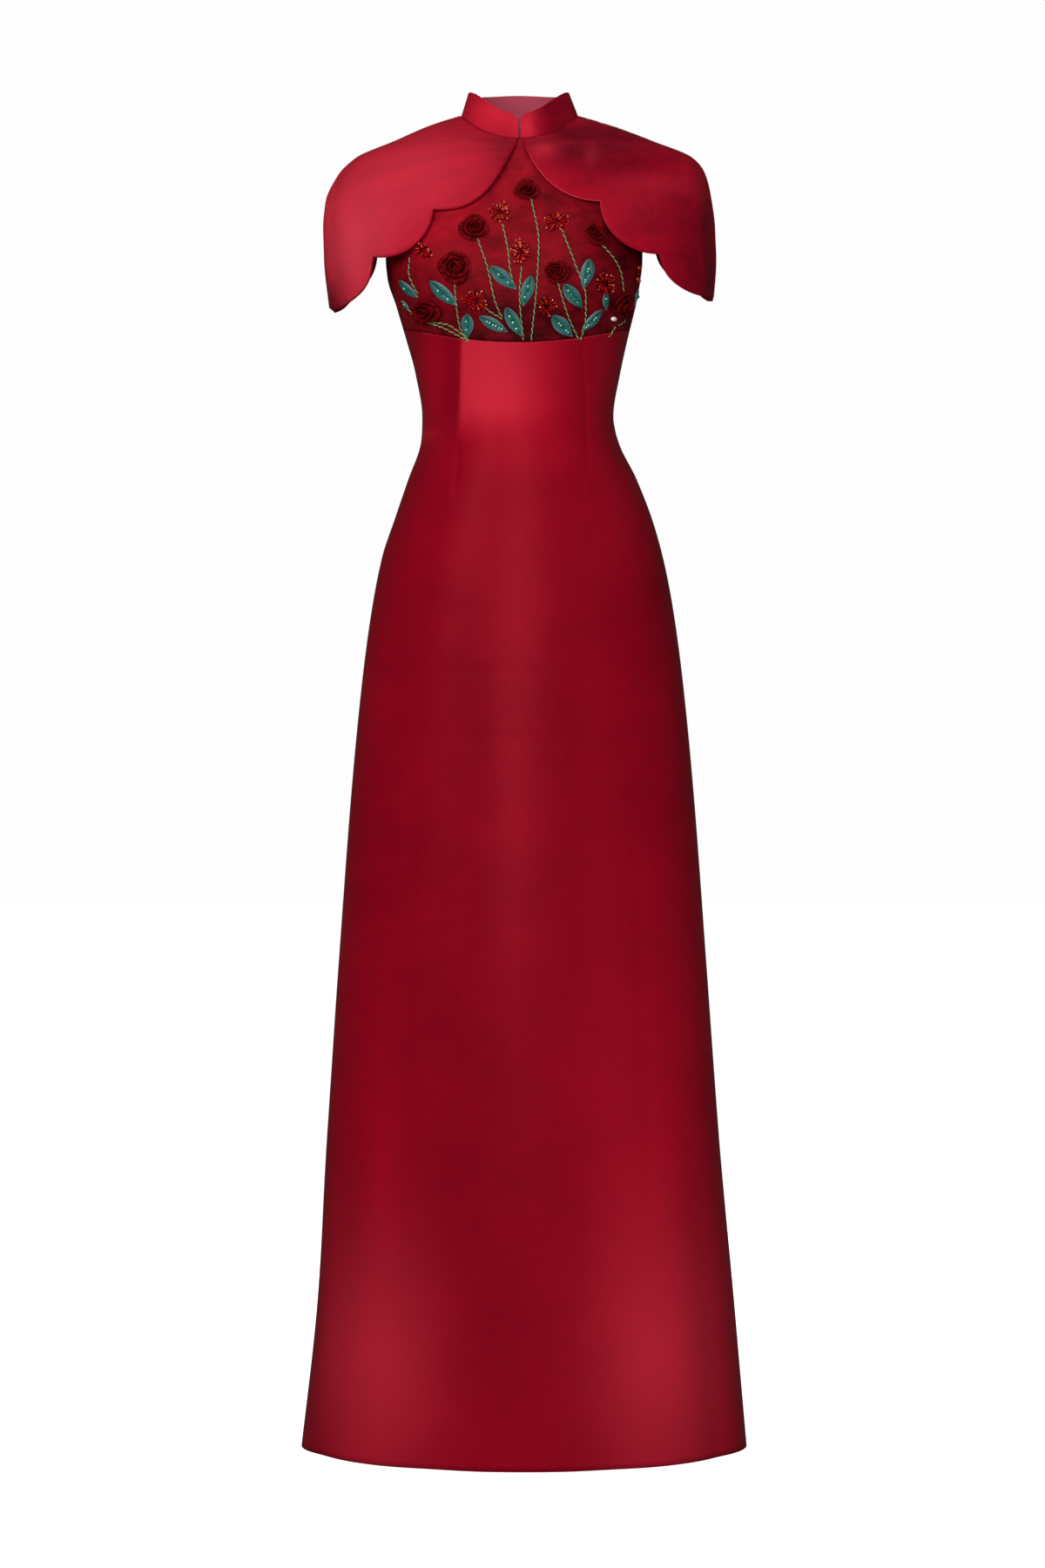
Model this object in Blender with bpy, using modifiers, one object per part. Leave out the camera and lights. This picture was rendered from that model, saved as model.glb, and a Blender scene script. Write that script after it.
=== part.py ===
"""An ao dai with a scalloped capelet, hollow as when it is worn, on a general figure.

Every piece is a cloth wall of its own. The dress pieces lie on one standing form, given by
level sections, and the capelet on a second, wider one over the shoulders. Both start at the
same neck seam, where the collar stands. The origin is the middle of the neck, level with the
points where the neck meets the shoulders, and the front faces -Y. Sizes are in millimetres
until a mesh is made.
"""
from collections import namedtuple
import math

import bpy
import numpy as np
from mathutils import Vector
from mathutils.bvhtree import BVHTree
from mathutils.geometry import delaunay_2d_cdt

MM = 0.001

# Walls and gaps
SATIN_WALL = 1.2
YOKE_WALL = 1.0
COLLAR_WALL = 2.4
SEAM_GAP = 0.3
COLLAR_GAP = 0.5
TRIM_GAP = 0.7

# Lengths down from the neck
UNDERARM = -146.0
SHOULDER_TIP = -25.0
SIDE_SEAM_AT_BUST = -233.0
BUST_SEAM_DIP = 20.0
SLIT_TOP = -432.0
HEM_SIDE = -1421.0
HEM_DIP_FRONT = 11.0
HEM_DIP_BACK = 5.0

# How far the armhole is cut in at the front and back, and the slit at the hem, in degrees
ARMHOLE_CUT = 32.0
FRONT_EDGE_WRAP = 3.0
SLIT_SPREAD = 9.0

# The armhole's curve: lower is rounder towards its ends
ARMHOLE_ROUNDNESS = 0.6

# The bust, as two soft mounds on the front of the form
BUST_APART = 170.0
BUST_HEIGHT = -177.0
BUST_RISE = 11.0
BUST_SPREAD = 46.0

# Level sections of a form: its height, half its width, its depth to the front and the back,
# how square it is (2 is an ellipse) and how far its middle stands off the centre
Section = namedtuple("Section", "height half_width front back squareness sway")

DRESS_SECTIONS = (
    Section(2, 44, 10, 50, 2.0, -3),
    Section(-5, 60.5, 20, 53, 2.0, -3),
    Section(-11, 73, 29, 55, 2.0, -3),
    Section(-18, 90, 38, 59, 2.0, -3),
    Section(-25, 107, 46, 63, 2.0, -3.5),
    Section(-37, 123, 57, 70, 2.1, -4),
    Section(-50, 129, 65.5, 76, 2.25, -4.5),
    Section(-70, 132, 76, 83, 2.45, -5),
    Section(-92, 134, 85, 88, 2.5, -6),
    Section(-115, 136, 93, 92, 2.5, -7.5),
    Section(-135, 137, 99, 95, 2.45, -8.5),
    Section(-155, 137, 104, 96, 2.35, -9),
    Section(-177, 135, 107, 95, 2.25, -9),
    Section(-205, 128, 105, 91, 2.15, -7),
    Section(-242, 118, 97, 87, 2.1, -6),
    Section(-279, 109, 92, 84, 2.1, -5),
    Section(-324, 102, 90, 84, 2.1, -5),
    Section(-349, 105, 91, 88, 2.1, -3),
    Section(-391, 122, 95, 99, 2.1, 0),
    Section(-432, 137, 98, 108, 2.1, 1),
    Section(-474, 150, 101, 113, 2.1, 0),
    Section(-530, 161, 104, 116, 2.1, 0),
    Section(-604, 171, 107, 116, 2.1, 0),
    Section(-716, 182, 110, 114, 2.15, 0),
    Section(-902, 196, 115, 114, 2.2, 0),
    Section(-1088, 209, 120, 117, 2.25, 0.5),
    Section(-1274, 223, 126, 122, 2.3, 3.5),
    Section(-1435, 239, 131, 127, 2.35, 1.5),
)

CAPELET_SECTIONS = (
    Section(4, 44, 12, 51, 2.0, -2.5),
    Section(-2, 62.5, 29, 56, 2.0, -2.5),
    Section(-9, 84.5, 43, 61, 2.0, -2.5),
    Section(-16, 104, 51, 66, 2.0, -1.5),
    Section(-30, 138, 62.5, 75, 2.0, 1.0),
    Section(-48, 180.5, 73, 85, 2.0, 2.2),
    Section(-66, 196.5, 82, 92, 2.0, 0),
    Section(-95, 206.5, 93, 100, 2.0, -3.4),
    Section(-125, 209.5, 102, 104, 2.0, -3.2),
    Section(-150, 209.5, 107, 106, 2.0, -2.4),
    Section(-215, 203.5, 110, 104, 2.0, -1.0),
)

# Soft flutes of the skirt: where each lies round the form, half its width, how far it sinks
# at the hem, and the height where it starts
Flute = namedtuple("Flute", "angle half_width depth top")

FLUTES = (
    Flute(-62, 9, 3, -900),
    Flute(-21, 10, 6, -780),
    Flute(19, 9, 5, -820),
    Flute(58, 9, 3, -940),
    Flute(128, 11, 7, -640),
    Flute(166, 10, 9, -560),
    Flute(203, 11, 8, -600),
    Flute(239, 10, 6, -700),
)

# The neck seam and the collar's top edge, both as ovals seen from above
NeckOval = namedtuple("NeckOval", "half_width front back side_z front_z back_z fall sway")

NECK_SEAM = NeckOval(62, 60, 52, -2, -34, 2, 1.5, -3)
COLLAR_TOP = NeckOval(54, 53, 50, 21, -8, 26, 3.0, -4)
COLLAR_SPLIT = 1.2
COLLAR_CORNER = 9.0
COLLAR_CORNER_DEPTH = 12.0

# How far inside and below the neck seam the yokes end, under the collar and the capelet
YOKE_NECK_INSET = 1.6
YOKE_NECK_DROP = 2.8
YOKE_FRONT_DROP = 1.3

# The capelet's scalloped edge, as one cubic curve for each scallop, seen from the front:
# from its start past two guides to its end, each as (across, height)
Scallop = namedtuple("Scallop", "start leave arrive end steps")

RIGHT_OPENING = Scallop((0, -36), (12, -68), (31, -103), (82, -104), 8)
RIGHT_SCALLOPS = (
    Scallop((82, -104), (84, -134), (104, -159), (145, -158), 7),
    Scallop((146, -160), (150, -187), (170, -201), (203, -199), 5),
)
LEFT_OPENING = Scallop((-5, -36), (-23, -69), (-36, -119), (-94, -113), 8)
LEFT_SCALLOPS = (
    Scallop((-94, -113), (-96, -142), (-121, -168), (-156, -161), 7),
    Scallop((-158, -163), (-158, -187), (-175, -209), (-200, -211), 5),
)
BACK_SCALLOP = Scallop((82, -104), (60, -178), (-72, -184), (-94, -113), 9)

# Behind, the edge is the front's mirrored and lifted, less and less towards the sides
BACK_LIFT = 22.0
LIFT_FROM = 204.0
LIFT_OVER = 30.0

# Ribbon roses on the yoke: place seen from the front, width and height across
Rose = namedtuple("Rose", "x z width height")

ROSES = (
    Rose(5, -95, 24, 24),
    Rose(-50, -135, 29, 28),
    Rose(-70, -175, 35, 33),
    Rose(75, -140, 24, 24),
    Rose(35, -180, 26, 24),
    Rose(-101, -219, 42, 24),
    Rose(105, -212, 33, 28),
)
ROSE_RISE = 10.5

# Leaves on the yoke: the middle seen from the front, the tip's turn from upright, the size
Leaf = namedtuple("Leaf", "x z turn length width")

LEAVES = (
    Leaf(-120.5, -194.5, -54, 34, 13.5),
    Leaf(-83, -202, -45, 39, 16),
    Leaf(-57.5, -235, 5, 25, 14),
    Leaf(-30.5, -234.5, -61, 33, 12.5),
    Leaf(-20.5, -187, -50, 36, 14.5),
    Leaf(-9.5, -232, -28, 34, 14),
    Leaf(5, -200.5, 16, 33, 13.5),
    Leaf(67.5, -182, 11, 33, 15.5),
    Leaf(53, -205.5, -42, 33, 14.5),
    Leaf(41.5, -236, -49, 32, 15.5),
    Leaf(73, -229, 41, 32, 13),
    Leaf(120, -198, 10, 19, 9),
    Leaf(87, -208.5, -22, 20, 9),
    Leaf(-121.5, -211, -20, 11, 6.5),
)
LEAF_RISE = 2.2
LEAF_EDGE = 0.5

# Grids: cells across and up each piece, and how closely the skirt's rows crowd to the waist
FRONT_PANEL_CELLS = (24, 22)
BACK_PANEL_CELLS = (12, 22)
FRONT_YOKE_CELLS = (24, 16)
BACK_YOKE_CELLS = (10, 13)
ROW_CROWDING = 1.3

# The share of a yoke's columns, counted from the centre, that end at the neck
FRONT_NECK_SHARE = 8 / 12
BACK_NECK_SHARE = 6 / 10

# The capelet's points: how far apart across and along the cloth, how near its outline, the
# steps along its neck, and how far from the neck it lies off its form
CAPELET_ACROSS = 16.5
CAPELET_ALONG = 14.5
CAPELET_CLEAR = 8.0
CAPELET_NECK_STEPS = 34
NECK_REACH = 45.0


def smooth_through(places, values, at):
    """A cubic curve through the rows of a table, with its slopes kept from overshooting."""
    widths = np.diff(places)
    rises = np.diff(values) / widths
    before, after = rises[:-1], rises[1:]
    same_way = before * after > 0
    both = np.where(same_way, before + after, 1.0)
    slopes = np.concatenate((
        rises[:1],
        np.where(same_way, 2 * before * after / both, 0.0),
        rises[-1:],
    ))
    row = np.clip(np.searchsorted(places, at) - 1, 0, len(widths) - 1)
    t = np.clip((at - places[row]) / widths[row], 0.0, 1.0)
    return (
        values[row] * (1 + 2 * t) * (1 - t) ** 2
        + values[row + 1] * t * t * (3 - 2 * t)
        + slopes[row] * widths[row] * t * (1 - t) ** 2
        - slopes[row + 1] * widths[row] * t * t * (1 - t)
    )


def ease(t):
    """0 to 1 with level ends, for a t that may run past them."""
    t = np.clip(t, 0.0, 1.0)
    return t * t * (3 - 2 * t)


class Form:
    """A standing hollow form. A point on it has an angle from the front centre, growing
    towards +X, and a height."""

    def __init__(self, sections, bust=False, flutes=()):
        table = np.array(sorted(sections), float)
        self.heights = table[:, 0]
        self.columns = table[:, 1:].T
        self.bust = bust
        self.flutes = flutes

    def section(self, height):
        return [smooth_through(self.heights, column, height) for column in self.columns]

    def point(self, angle, height):
        angle, height = np.broadcast_arrays(np.asarray(angle, float), height)
        half_width, front, back, squareness, sway = self.section(height)
        turn = np.radians(angle)
        across, along = np.sin(turn), np.cos(turn)
        power = 2 / squareness
        depth = np.where(along > 0, front, back)
        x = sway + half_width * np.sign(across) * np.abs(across) ** power
        y = -depth * np.sign(along) * np.abs(along) ** power
        if self.bust:
            for side in (-1, 1):
                off_x = (x - sway - side * BUST_APART / 2) / BUST_SPREAD
                off_z = (height - BUST_HEIGHT) / BUST_SPREAD
                y = y - BUST_RISE * np.exp(-off_x ** 2 - off_z ** 2) * np.clip(2 * along, 0, 1)
        for flute in self.flutes:
            off = (angle - flute.angle + 180) % 360 - 180
            grown = ease((flute.top - height) / (flute.top - HEM_SIDE))
            sunk = flute.depth * grown * np.exp(-((off / flute.half_width) ** 2))
            x = x - sunk * across
            y = y + sunk * along
        return np.stack((x, y, height), axis=-1)

    def angle_at(self, x, height):
        """The angle where the front of the form stands at x."""
        half_width, _, _, squareness, sway = self.section(height)
        share = np.clip((x - sway) / half_width, -1, 1)
        return np.degrees(np.arcsin(np.sign(share) * np.abs(share) ** (squareness / 2)))


DRESS = Form(DRESS_SECTIONS, bust=True, flutes=FLUTES)
CAPELET = Form(CAPELET_SECTIONS)


def oval_point(oval, angle, inset=0.0, drop=0.0):
    """A point of a neck oval, or of one drawn in and lowered."""
    turn = np.radians(np.asarray(angle, float))
    across, along = np.sin(turn), np.cos(turn)
    depth = np.where(along > 0, oval.front, oval.back) - inset
    end_z = np.where(along > 0, oval.front_z, oval.back_z)
    x = oval.sway + (oval.half_width - inset) * across
    z = oval.side_z + (end_z - oval.side_z) * np.abs(along) ** oval.fall - drop
    return np.stack((x, -depth * along, z), axis=-1)


def curve_points(scallop):
    """The points of a scallop, as (across, height)."""
    t = np.linspace(0, 1, scallop.steps + 1)[:, None]
    guides = np.array(scallop[:4], float)
    weights = ((1 - t) ** 3, 3 * t * (1 - t) ** 2, 3 * t * t * (1 - t), t ** 3)
    return sum(weight * guide for weight, guide in zip(weights, guides))


def finish(name, colour, roughness):
    material = bpy.data.materials.new(name)
    material.use_nodes = True
    shader = material.node_tree.nodes["Principled BSDF"]
    shader.inputs["Base Color"].default_value = (*colour, 1.0)
    shader.inputs["Roughness"].default_value = roughness
    return material


def grid_faces(rows, columns):
    """Faces of a grid whose rows run up and whose columns run left to right."""
    return [
        (r * columns + c, r * columns + c + 1, (r + 1) * columns + c + 1, (r + 1) * columns + c)
        for r in range(rows - 1)
        for c in range(columns - 1)
    ]


def add_mesh(name, points, faces, material):
    mesh = bpy.data.meshes.new(name)
    mesh.from_pydata((np.reshape(points, (-1, 3)) * MM).tolist(), [], faces)
    mesh.materials.append(material)
    mesh.shade_smooth()
    piece = bpy.data.objects.new(name, mesh)
    garment.objects.link(piece)
    return piece


def wall(name, points, faces, thickness, material):
    """A cloth wall from the points and faces of its outer side."""
    piece = add_mesh(name, points, faces, material)
    solid = piece.modifiers.new("wall", "SOLIDIFY")
    solid.thickness = thickness * MM
    solid.offset = -1
    return piece


def cloth(name, points, thickness, material):
    """A cloth wall from the grid of its outer points, rows running up."""
    return wall(name, points, grid_faces(*points.shape[:2]), thickness, material)


# The skirt

def skirt_points(left_angle, right_angle, cells, push):
    """The grid between two side edges, each an angle for every height, set off by push."""
    columns, rows = cells
    across = np.linspace(0, 1, columns + 1)[None, :]
    up = np.linspace(0, 1, rows + 1)[:, None]
    share = 1 - (1 - up) ** ROW_CROWDING
    side_height = HEM_SIDE + (SIDE_SEAM_AT_BUST - HEM_SIDE) * share
    angle = left_angle(side_height) * (1 - across) + right_angle(side_height) * across
    top = bust_seam(angle) - SEAM_GAP / 2
    height = hem(angle) * (1 - share) + top * share
    return DRESS.point(angle, height) + np.array(push)


def slit_opened(height):
    """How far the slit has opened at a height, from 0 at its top to 1 at the hem."""
    return np.clip((SLIT_TOP - height) / (SLIT_TOP - HEM_SIDE), 0, 1)


def front_edge(height):
    return 90 + FRONT_EDGE_WRAP * slit_opened(height)


def back_edge(height):
    return 90 + (FRONT_EDGE_WRAP + SLIT_SPREAD) * slit_opened(height)


def centre_back(height):
    return 180 + 0 * height


def towards_front(angle):
    return np.clip(np.cos(np.radians(angle)), 0, 1) ** 2


def bust_seam(angle):
    return SIDE_SEAM_AT_BUST - BUST_SEAM_DIP * towards_front(angle)


def hem(angle):
    back = towards_front(angle - 180)
    return HEM_SIDE - HEM_DIP_FRONT * towards_front(angle) - HEM_DIP_BACK * back


def make_skirt(satin):
    half = SEAM_GAP / 2
    front = skirt_points(lambda z: -front_edge(z), front_edge, FRONT_PANEL_CELLS, (0, -half, 0))
    cloth("front_panel", front, SATIN_WALL, satin)
    left = skirt_points(
        lambda z: -centre_back(z), lambda z: -back_edge(z), BACK_PANEL_CELLS, (-half, half, 0)
    )
    cloth("back_panel_left", left, SATIN_WALL, satin)
    right = skirt_points(back_edge, centre_back, BACK_PANEL_CELLS, (half, half, 0))
    cloth("back_panel_right", right, SATIN_WALL, satin)


# The yoke

def armhole_angle(height):
    """How far round the side edge of a yoke stands: the side seam, then the armhole."""
    rise = np.clip((height - UNDERARM) / (SHOULDER_TIP - UNDERARM), 0, 1)
    return 90 - ARMHOLE_CUT * np.sin(np.pi * rise) ** ARMHOLE_ROUNDNESS


def yoke_points(side, share, rows, neck_share, front, push):
    """The grid of a yoke. side is -1 on the left and 1 on the right. share runs from 0 at the
    centre to 1 at the side seam, with the neck up to neck_share and the shoulder beyond it."""
    share = share[None, :]
    step = np.linspace(0, 1, rows + 1)[:, None]
    up = np.sin(np.pi / 2 * step)

    side_height = SIDE_SEAM_AT_BUST + (SHOULDER_TIP - SIDE_SEAM_AT_BUST) * up
    neck_turn = 90 * np.clip(share / neck_share, 0, 1)
    past_neck = np.clip((share - neck_share) / (1 - neck_share), 0, 1)
    bottom = bust_seam(90 * share) if front else SIDE_SEAM_AT_BUST
    behind = 0 if front else 180
    middle_drop = YOKE_FRONT_DROP if front else YOKE_NECK_DROP
    drop = YOKE_NECK_DROP + (middle_drop - YOKE_NECK_DROP) * towards_front(neck_turn)
    neck = oval_point(NECK_SEAM, side * abs(behind - neck_turn), YOKE_NECK_INSET, drop)
    top = neck[..., 2] + (SHOULDER_TIP - neck[..., 2]) * past_neck
    height = (bottom + SEAM_GAP / 2) * (1 - up) + top * up

    # Across, a point leaves its place round the body for its place along the neck or shoulder
    leaves, joins = 0.45, 0.7
    around = DRESS.point(side * share * armhole_angle(side_height), height)[..., 0]
    along_top = np.where(past_neck > 0, DRESS.point(side * 90, top)[..., 0], neck[..., 0])
    to_top = ease((up - leaves) / (1 - leaves))
    angle = DRESS.angle_at(around * (1 - to_top) + along_top * to_top, height)

    points = DRESS.point(side * abs(behind - abs(angle)), height)
    neck_angle = DRESS.angle_at(neck[..., 0], neck[..., 2])
    to_neck = neck - DRESS.point(side * abs(behind - abs(neck_angle)), neck[..., 2])
    hold = ease((up - joins) / (1 - joins)) * (past_neck == 0)
    return points + to_neck * hold[..., None] + np.array(push)


def make_yoke(net):
    half = SEAM_GAP / 2
    columns, rows = FRONT_YOKE_CELLS
    across = np.linspace(-1, 1, columns + 1)
    front = yoke_points(np.sign(across), abs(across), rows, FRONT_NECK_SHARE, True, (0, -half, 0))
    piece = cloth("front_yoke", front, YOKE_WALL, net)
    columns, rows = BACK_YOKE_CELLS
    share = np.linspace(0, 1, columns + 1)
    left = yoke_points(-1, share, rows, BACK_NECK_SHARE, False, (-half, half, 0))
    cloth("back_yoke_left", left, YOKE_WALL, net)
    right = yoke_points(1, share[::-1], rows, BACK_NECK_SHARE, False, (half, half, 0))
    cloth("back_yoke_right", right, YOKE_WALL, net)
    return piece


# The capelet

class FlatForm:
    """A form laid out flat so that small shapes keep their proportions: across is the angle
    in radians, and up is the distance down the side, each step divided by the form's size."""

    def __init__(self, form):
        self.heights = np.arange(form.heights[-1], form.heights[0] - 1, -1.0)
        steps = np.linalg.norm(np.diff(form.point(90, self.heights), axis=0), axis=1)
        rings = form.point(np.arange(0, 360, 5)[None, :], self.heights[:, None])
        round_it = np.linalg.norm(rings - np.roll(rings, 1, axis=1), axis=-1).sum(axis=1)
        self.sizes = round_it / (2 * np.pi)
        self.lengths = np.concatenate(([0], np.cumsum(steps)))
        self.ups = -np.concatenate(([0], np.cumsum(steps / self.sizes[1:])))

    def spots(self, angle, height):
        up = np.interp(-height, -self.heights, self.ups)
        return np.stack((np.radians(angle), up), axis=-1)

    def angle_and_height(self, spots):
        height = np.interp(-spots[:, 1], -self.ups, self.heights)
        return np.degrees(spots[:, 0]), height

    def length_at(self, height):
        return np.interp(-height, -self.heights, self.lengths)

    def size_at(self, height):
        return np.interp(-height, -self.heights, self.sizes)


def capelet_neck():
    """The neck seam from right to left round the back: its points, and the angle and height
    of the form behind each."""
    split = math.degrees(COLLAR_SPLIT / NECK_SEAM.half_width)
    neck = oval_point(NECK_SEAM, np.linspace(split, 360 - split, CAPELET_NECK_STEPS + 1))
    height = neck[:, 2]
    half_width, front, back, _, sway = CAPELET.section(height)
    depth = np.where(neck[:, 1] < 0, front, back)
    across, along = (neck[:, 0] - sway) / half_width, -neck[:, 1] / depth
    return neck, np.degrees(np.unwrap(np.arctan2(across, along))), height


def capelet_edge():
    """The free edge as (angle, height): from the neck down the right opening, round the back
    and up the left opening to the neck."""
    def seen_from_front(points):
        return np.stack(
            (CAPELET.angle_at(points[:, 0], points[:, 1]) % 360, points[:, 1]), axis=-1
        )

    def seen_from_behind(points):
        lift = BACK_LIFT * ease((LIFT_FROM - abs(points[:, 0])) / LIFT_OVER)
        height = points[:, 1] + lift
        angle = 180 - CAPELET.angle_at(points[:, 0], height)
        return np.stack((angle, height), axis=-1)

    right = np.concatenate([curve_points(scallop)[1:] for scallop in RIGHT_SCALLOPS])
    left = np.concatenate([curve_points(scallop)[1:] for scallop in LEFT_SCALLOPS])
    return np.concatenate((
        seen_from_front(curve_points(RIGHT_OPENING)[1:]),
        seen_from_front(right),
        seen_from_behind(right[::-1]),
        seen_from_behind(curve_points(BACK_SCALLOP)),
        seen_from_behind(left),
        seen_from_front(left[::-1]),
        seen_from_front(curve_points(LEFT_OPENING)[:0:-1]),
    ))


def inside(spots, outline):
    """Which spots lie inside a closed outline, from how often a line to their right meets it."""
    across, up = spots[:, :1], spots[:, 1:]
    start_across, start_up = outline.T
    end_across, end_up = np.roll(outline, -1, axis=0).T
    passes = (start_up > up) != (end_up > up)
    rise = np.where(end_up == start_up, 1, end_up - start_up)
    meets = start_across + (up - start_up) * (end_across - start_across) / rise
    return (passes & (across < meets)).sum(axis=1) % 2 == 1


def distance_to(spots, outline):
    """How far each spot is from a closed outline."""
    run = np.roll(outline, -1, axis=0) - outline
    off = spots[:, None] - outline
    share = np.clip((off * run).sum(axis=-1) / (run ** 2).sum(axis=-1), 0, 1)
    return np.linalg.norm(off - share[..., None] * run, axis=-1).min(axis=1)


def capelet_inner_spots(flat, outline):
    """Rings of spots inside the outline, every other ring set half a step round."""
    lengths = np.arange(CAPELET_ALONG, flat.lengths[-1], CAPELET_ALONG)
    spots = []
    for number, length in enumerate(lengths):
        height = np.interp(length, flat.lengths, flat.heights)
        size = flat.size_at(height)
        count = round(2 * math.pi * size / CAPELET_ACROSS)
        angle = (np.arange(count) + 0.5 * (number % 2)) * 360 / count
        ring = flat.spots(angle, np.full(count, height))
        clear = distance_to(ring, outline) * size > CAPELET_CLEAR
        spots.append(ring[clear & inside(ring, outline)])
    return np.concatenate(spots)


def make_capelet(satin):
    flat = FlatForm(CAPELET)
    neck, neck_angle, neck_height = capelet_neck()
    edge = capelet_edge()
    outline = np.concatenate((
        flat.spots(edge[:, 0], edge[:, 1]),
        flat.spots(neck_angle[::-1], neck_height[::-1]),
    ))
    spots = np.concatenate((outline, capelet_inner_spots(flat, outline)))
    loop = list(range(len(outline)))
    within = 1
    spots, _, faces, _, _, _ = delaunay_2d_cdt(
        [Vector(spot) for spot in spots.tolist()], [], [loop], within, 1e-6
    )
    angle, height = flat.angle_and_height(np.array(spots))

    # Close to the neck the cloth leaves the form to meet the neck seam
    to_neck = neck - CAPELET.point(neck_angle, neck_height)
    from_neck = flat.length_at(height) - flat.length_at(np.interp(angle, neck_angle, neck_height))
    hold = ease(1 - from_neck / NECK_REACH)[:, None]
    shift = np.stack([np.interp(angle, neck_angle, part) for part in to_neck.T], axis=-1)
    points = CAPELET.point(angle, height) + shift * hold
    wall("capelet", points, faces, SATIN_WALL, satin)


# The collar

def make_collar(satin):
    """The standing band, from one side of the front split round the neck to the other."""
    corner_steps, body_steps, rows = 4, 30, 3
    split = math.degrees(COLLAR_SPLIT / NECK_SEAM.half_width)
    corner = math.degrees(COLLAR_CORNER / NECK_SEAM.half_width)
    end = corner * (1 - np.cos(np.linspace(0, np.pi / 2, corner_steps + 1)[:-1]))
    body = np.linspace(corner, 360 - 2 * split - corner, body_steps + 1)
    turn = split + np.concatenate((end, body, 360 - 2 * split - end[::-1]))
    from_end = np.minimum(turn - split, 360 - split - turn)
    off = np.clip(1 - from_end / corner, 0, 1)
    rounded = COLLAR_CORNER_DEPTH * (1 - np.sqrt(1 - off ** 2))
    bottom = oval_point(NECK_SEAM, turn, drop=-COLLAR_GAP)
    top = oval_point(COLLAR_TOP, turn)
    rise = top[:, 2] - bottom[:, 2]
    up = np.linspace(0, 1, rows + 1)[:, None, None]
    share = up * (1 - rounded / rise)[None, :, None]
    cloth("collar", bottom * (1 - share) + top * share, COLLAR_WALL, satin)


# Roses and leaves, made from the points of the yoke under them, moved out

def yoke_surface(yoke):
    mesh = yoke.data
    mesh.calc_loop_triangles()
    corners = [vertex.co / MM for vertex in mesh.vertices]
    return BVHTree.FromPolygons(corners, [tuple(face.vertices) for face in mesh.loop_triangles])


def patch_on_yoke(surface, x, z):
    """The point of the yoke seen at (x, z), its normal, and directions along the cloth."""
    place, normal, _, _ = surface.ray_cast(Vector((x, -500, z)), Vector((0, 1, 0)))
    right = Vector((0, 0, 1)).cross(-normal).normalized()
    return place, normal, right, normal.cross(right)


def laid_on_yoke(surface, patch, offsets, lifts):
    """Points given by their offsets along the cloth, just clear of the yoke under them and
    then lifted, all one way."""
    place, normal, right, upward = patch
    points = []
    for (across, along), lift in zip(offsets, lifts):
        spot, off, _, _ = surface.find_nearest(place + right * across + upward * along)
        points.append(tuple(spot + off * TRIM_GAP + normal * lift))
    return points


def ring_faces(rings, spokes):
    """Faces of rings of points, the first ring of them starting at point 1, between a single
    point at the start and one at the end."""
    last = 1 + rings * spokes
    faces = []
    for spoke in range(spokes):
        after = (spoke + 1) % spokes
        faces.append((0, 1 + spoke, 1 + after))
        for ring in range(rings - 1):
            inner, outer = 1 + ring * spokes, 1 + (ring + 1) * spokes
            faces.append((inner + spoke, outer + spoke, outer + after, inner + after))
        faces.append((last - spokes + spoke, last, last - spokes + after))
    return faces


def make_rose(name, rose, surface, ribbon):
    """A rolled ribbon: a low dome whose edge winds outwards, over a flat underside."""
    spokes, windings = 18, 2.5
    middle, hollow, flattened = 0.8, 0.72, 0.86
    patch = patch_on_yoke(surface, rose.x, rose.z)
    offsets, lifts = [(0, 0)], [ROSE_RISE * middle]
    over, under = (0.2, 0.4, 0.6, 0.8, 1.0), (1.0, 0.66, 0.33)
    for out, upper in [(out, 1) for out in over] + [(out, 0) for out in under]:
        for spoke in range(spokes):
            turn = 2 * math.pi * spoke / spokes
            wound = (windings * out + spoke / spokes) % 1
            dome = math.sqrt(1 - flattened * out ** 2) * (hollow + (1 - hollow) * wound)
            offsets.append((rose.width / 2 * out * math.cos(turn),
                            rose.height / 2 * out * math.sin(turn)))
            lifts.append(upper * ROSE_RISE * dome)
    offsets.append((0, 0))
    lifts.append(0)
    points = laid_on_yoke(surface, patch, offsets, lifts)
    add_mesh(name, points, ring_faces(len(over + under), spokes), ribbon)


def make_leaf(name, leaf, surface, satin):
    """A padded leaf, pointed at both ends, with a crease down its middle."""
    stations = 6
    patch = patch_on_yoke(surface, leaf.x, leaf.z)
    turn = math.radians(leaf.turn)
    tip_x, tip_z = math.sin(turn), math.cos(turn)
    crease = LEAF_RISE * 0.6
    section = (
        (-1, 0), (0, 0), (1, 0), (1, LEAF_EDGE),
        (0.5, LEAF_RISE), (0, crease), (-0.5, LEAF_RISE), (-1, LEAF_EDGE),
    )

    def spot(share, side):
        along = leaf.length * (share - 0.5)
        fullest, blunt = 0.85, 0.8
        swell = math.sin(math.pi * share ** fullest) ** blunt
        across = side * leaf.width / 2 * swell
        return along * tip_x + across * tip_z, along * tip_z - across * tip_x

    offsets, lifts = [spot(0, 0)], [LEAF_EDGE]
    for station in range(1, stations):
        for side, lift in section:
            offsets.append(spot(station / stations, side))
            lifts.append(lift)
    offsets.append(spot(1, 0))
    lifts.append(LEAF_EDGE)
    points = laid_on_yoke(surface, patch, offsets, lifts)
    add_mesh(name, points, ring_faces(stations - 1, len(section)), satin)


for old in list(bpy.data.objects):
    bpy.data.objects.remove(old)

garment = bpy.data.collections.new("ao_dai")
bpy.context.scene.collection.children.link(garment)

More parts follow.
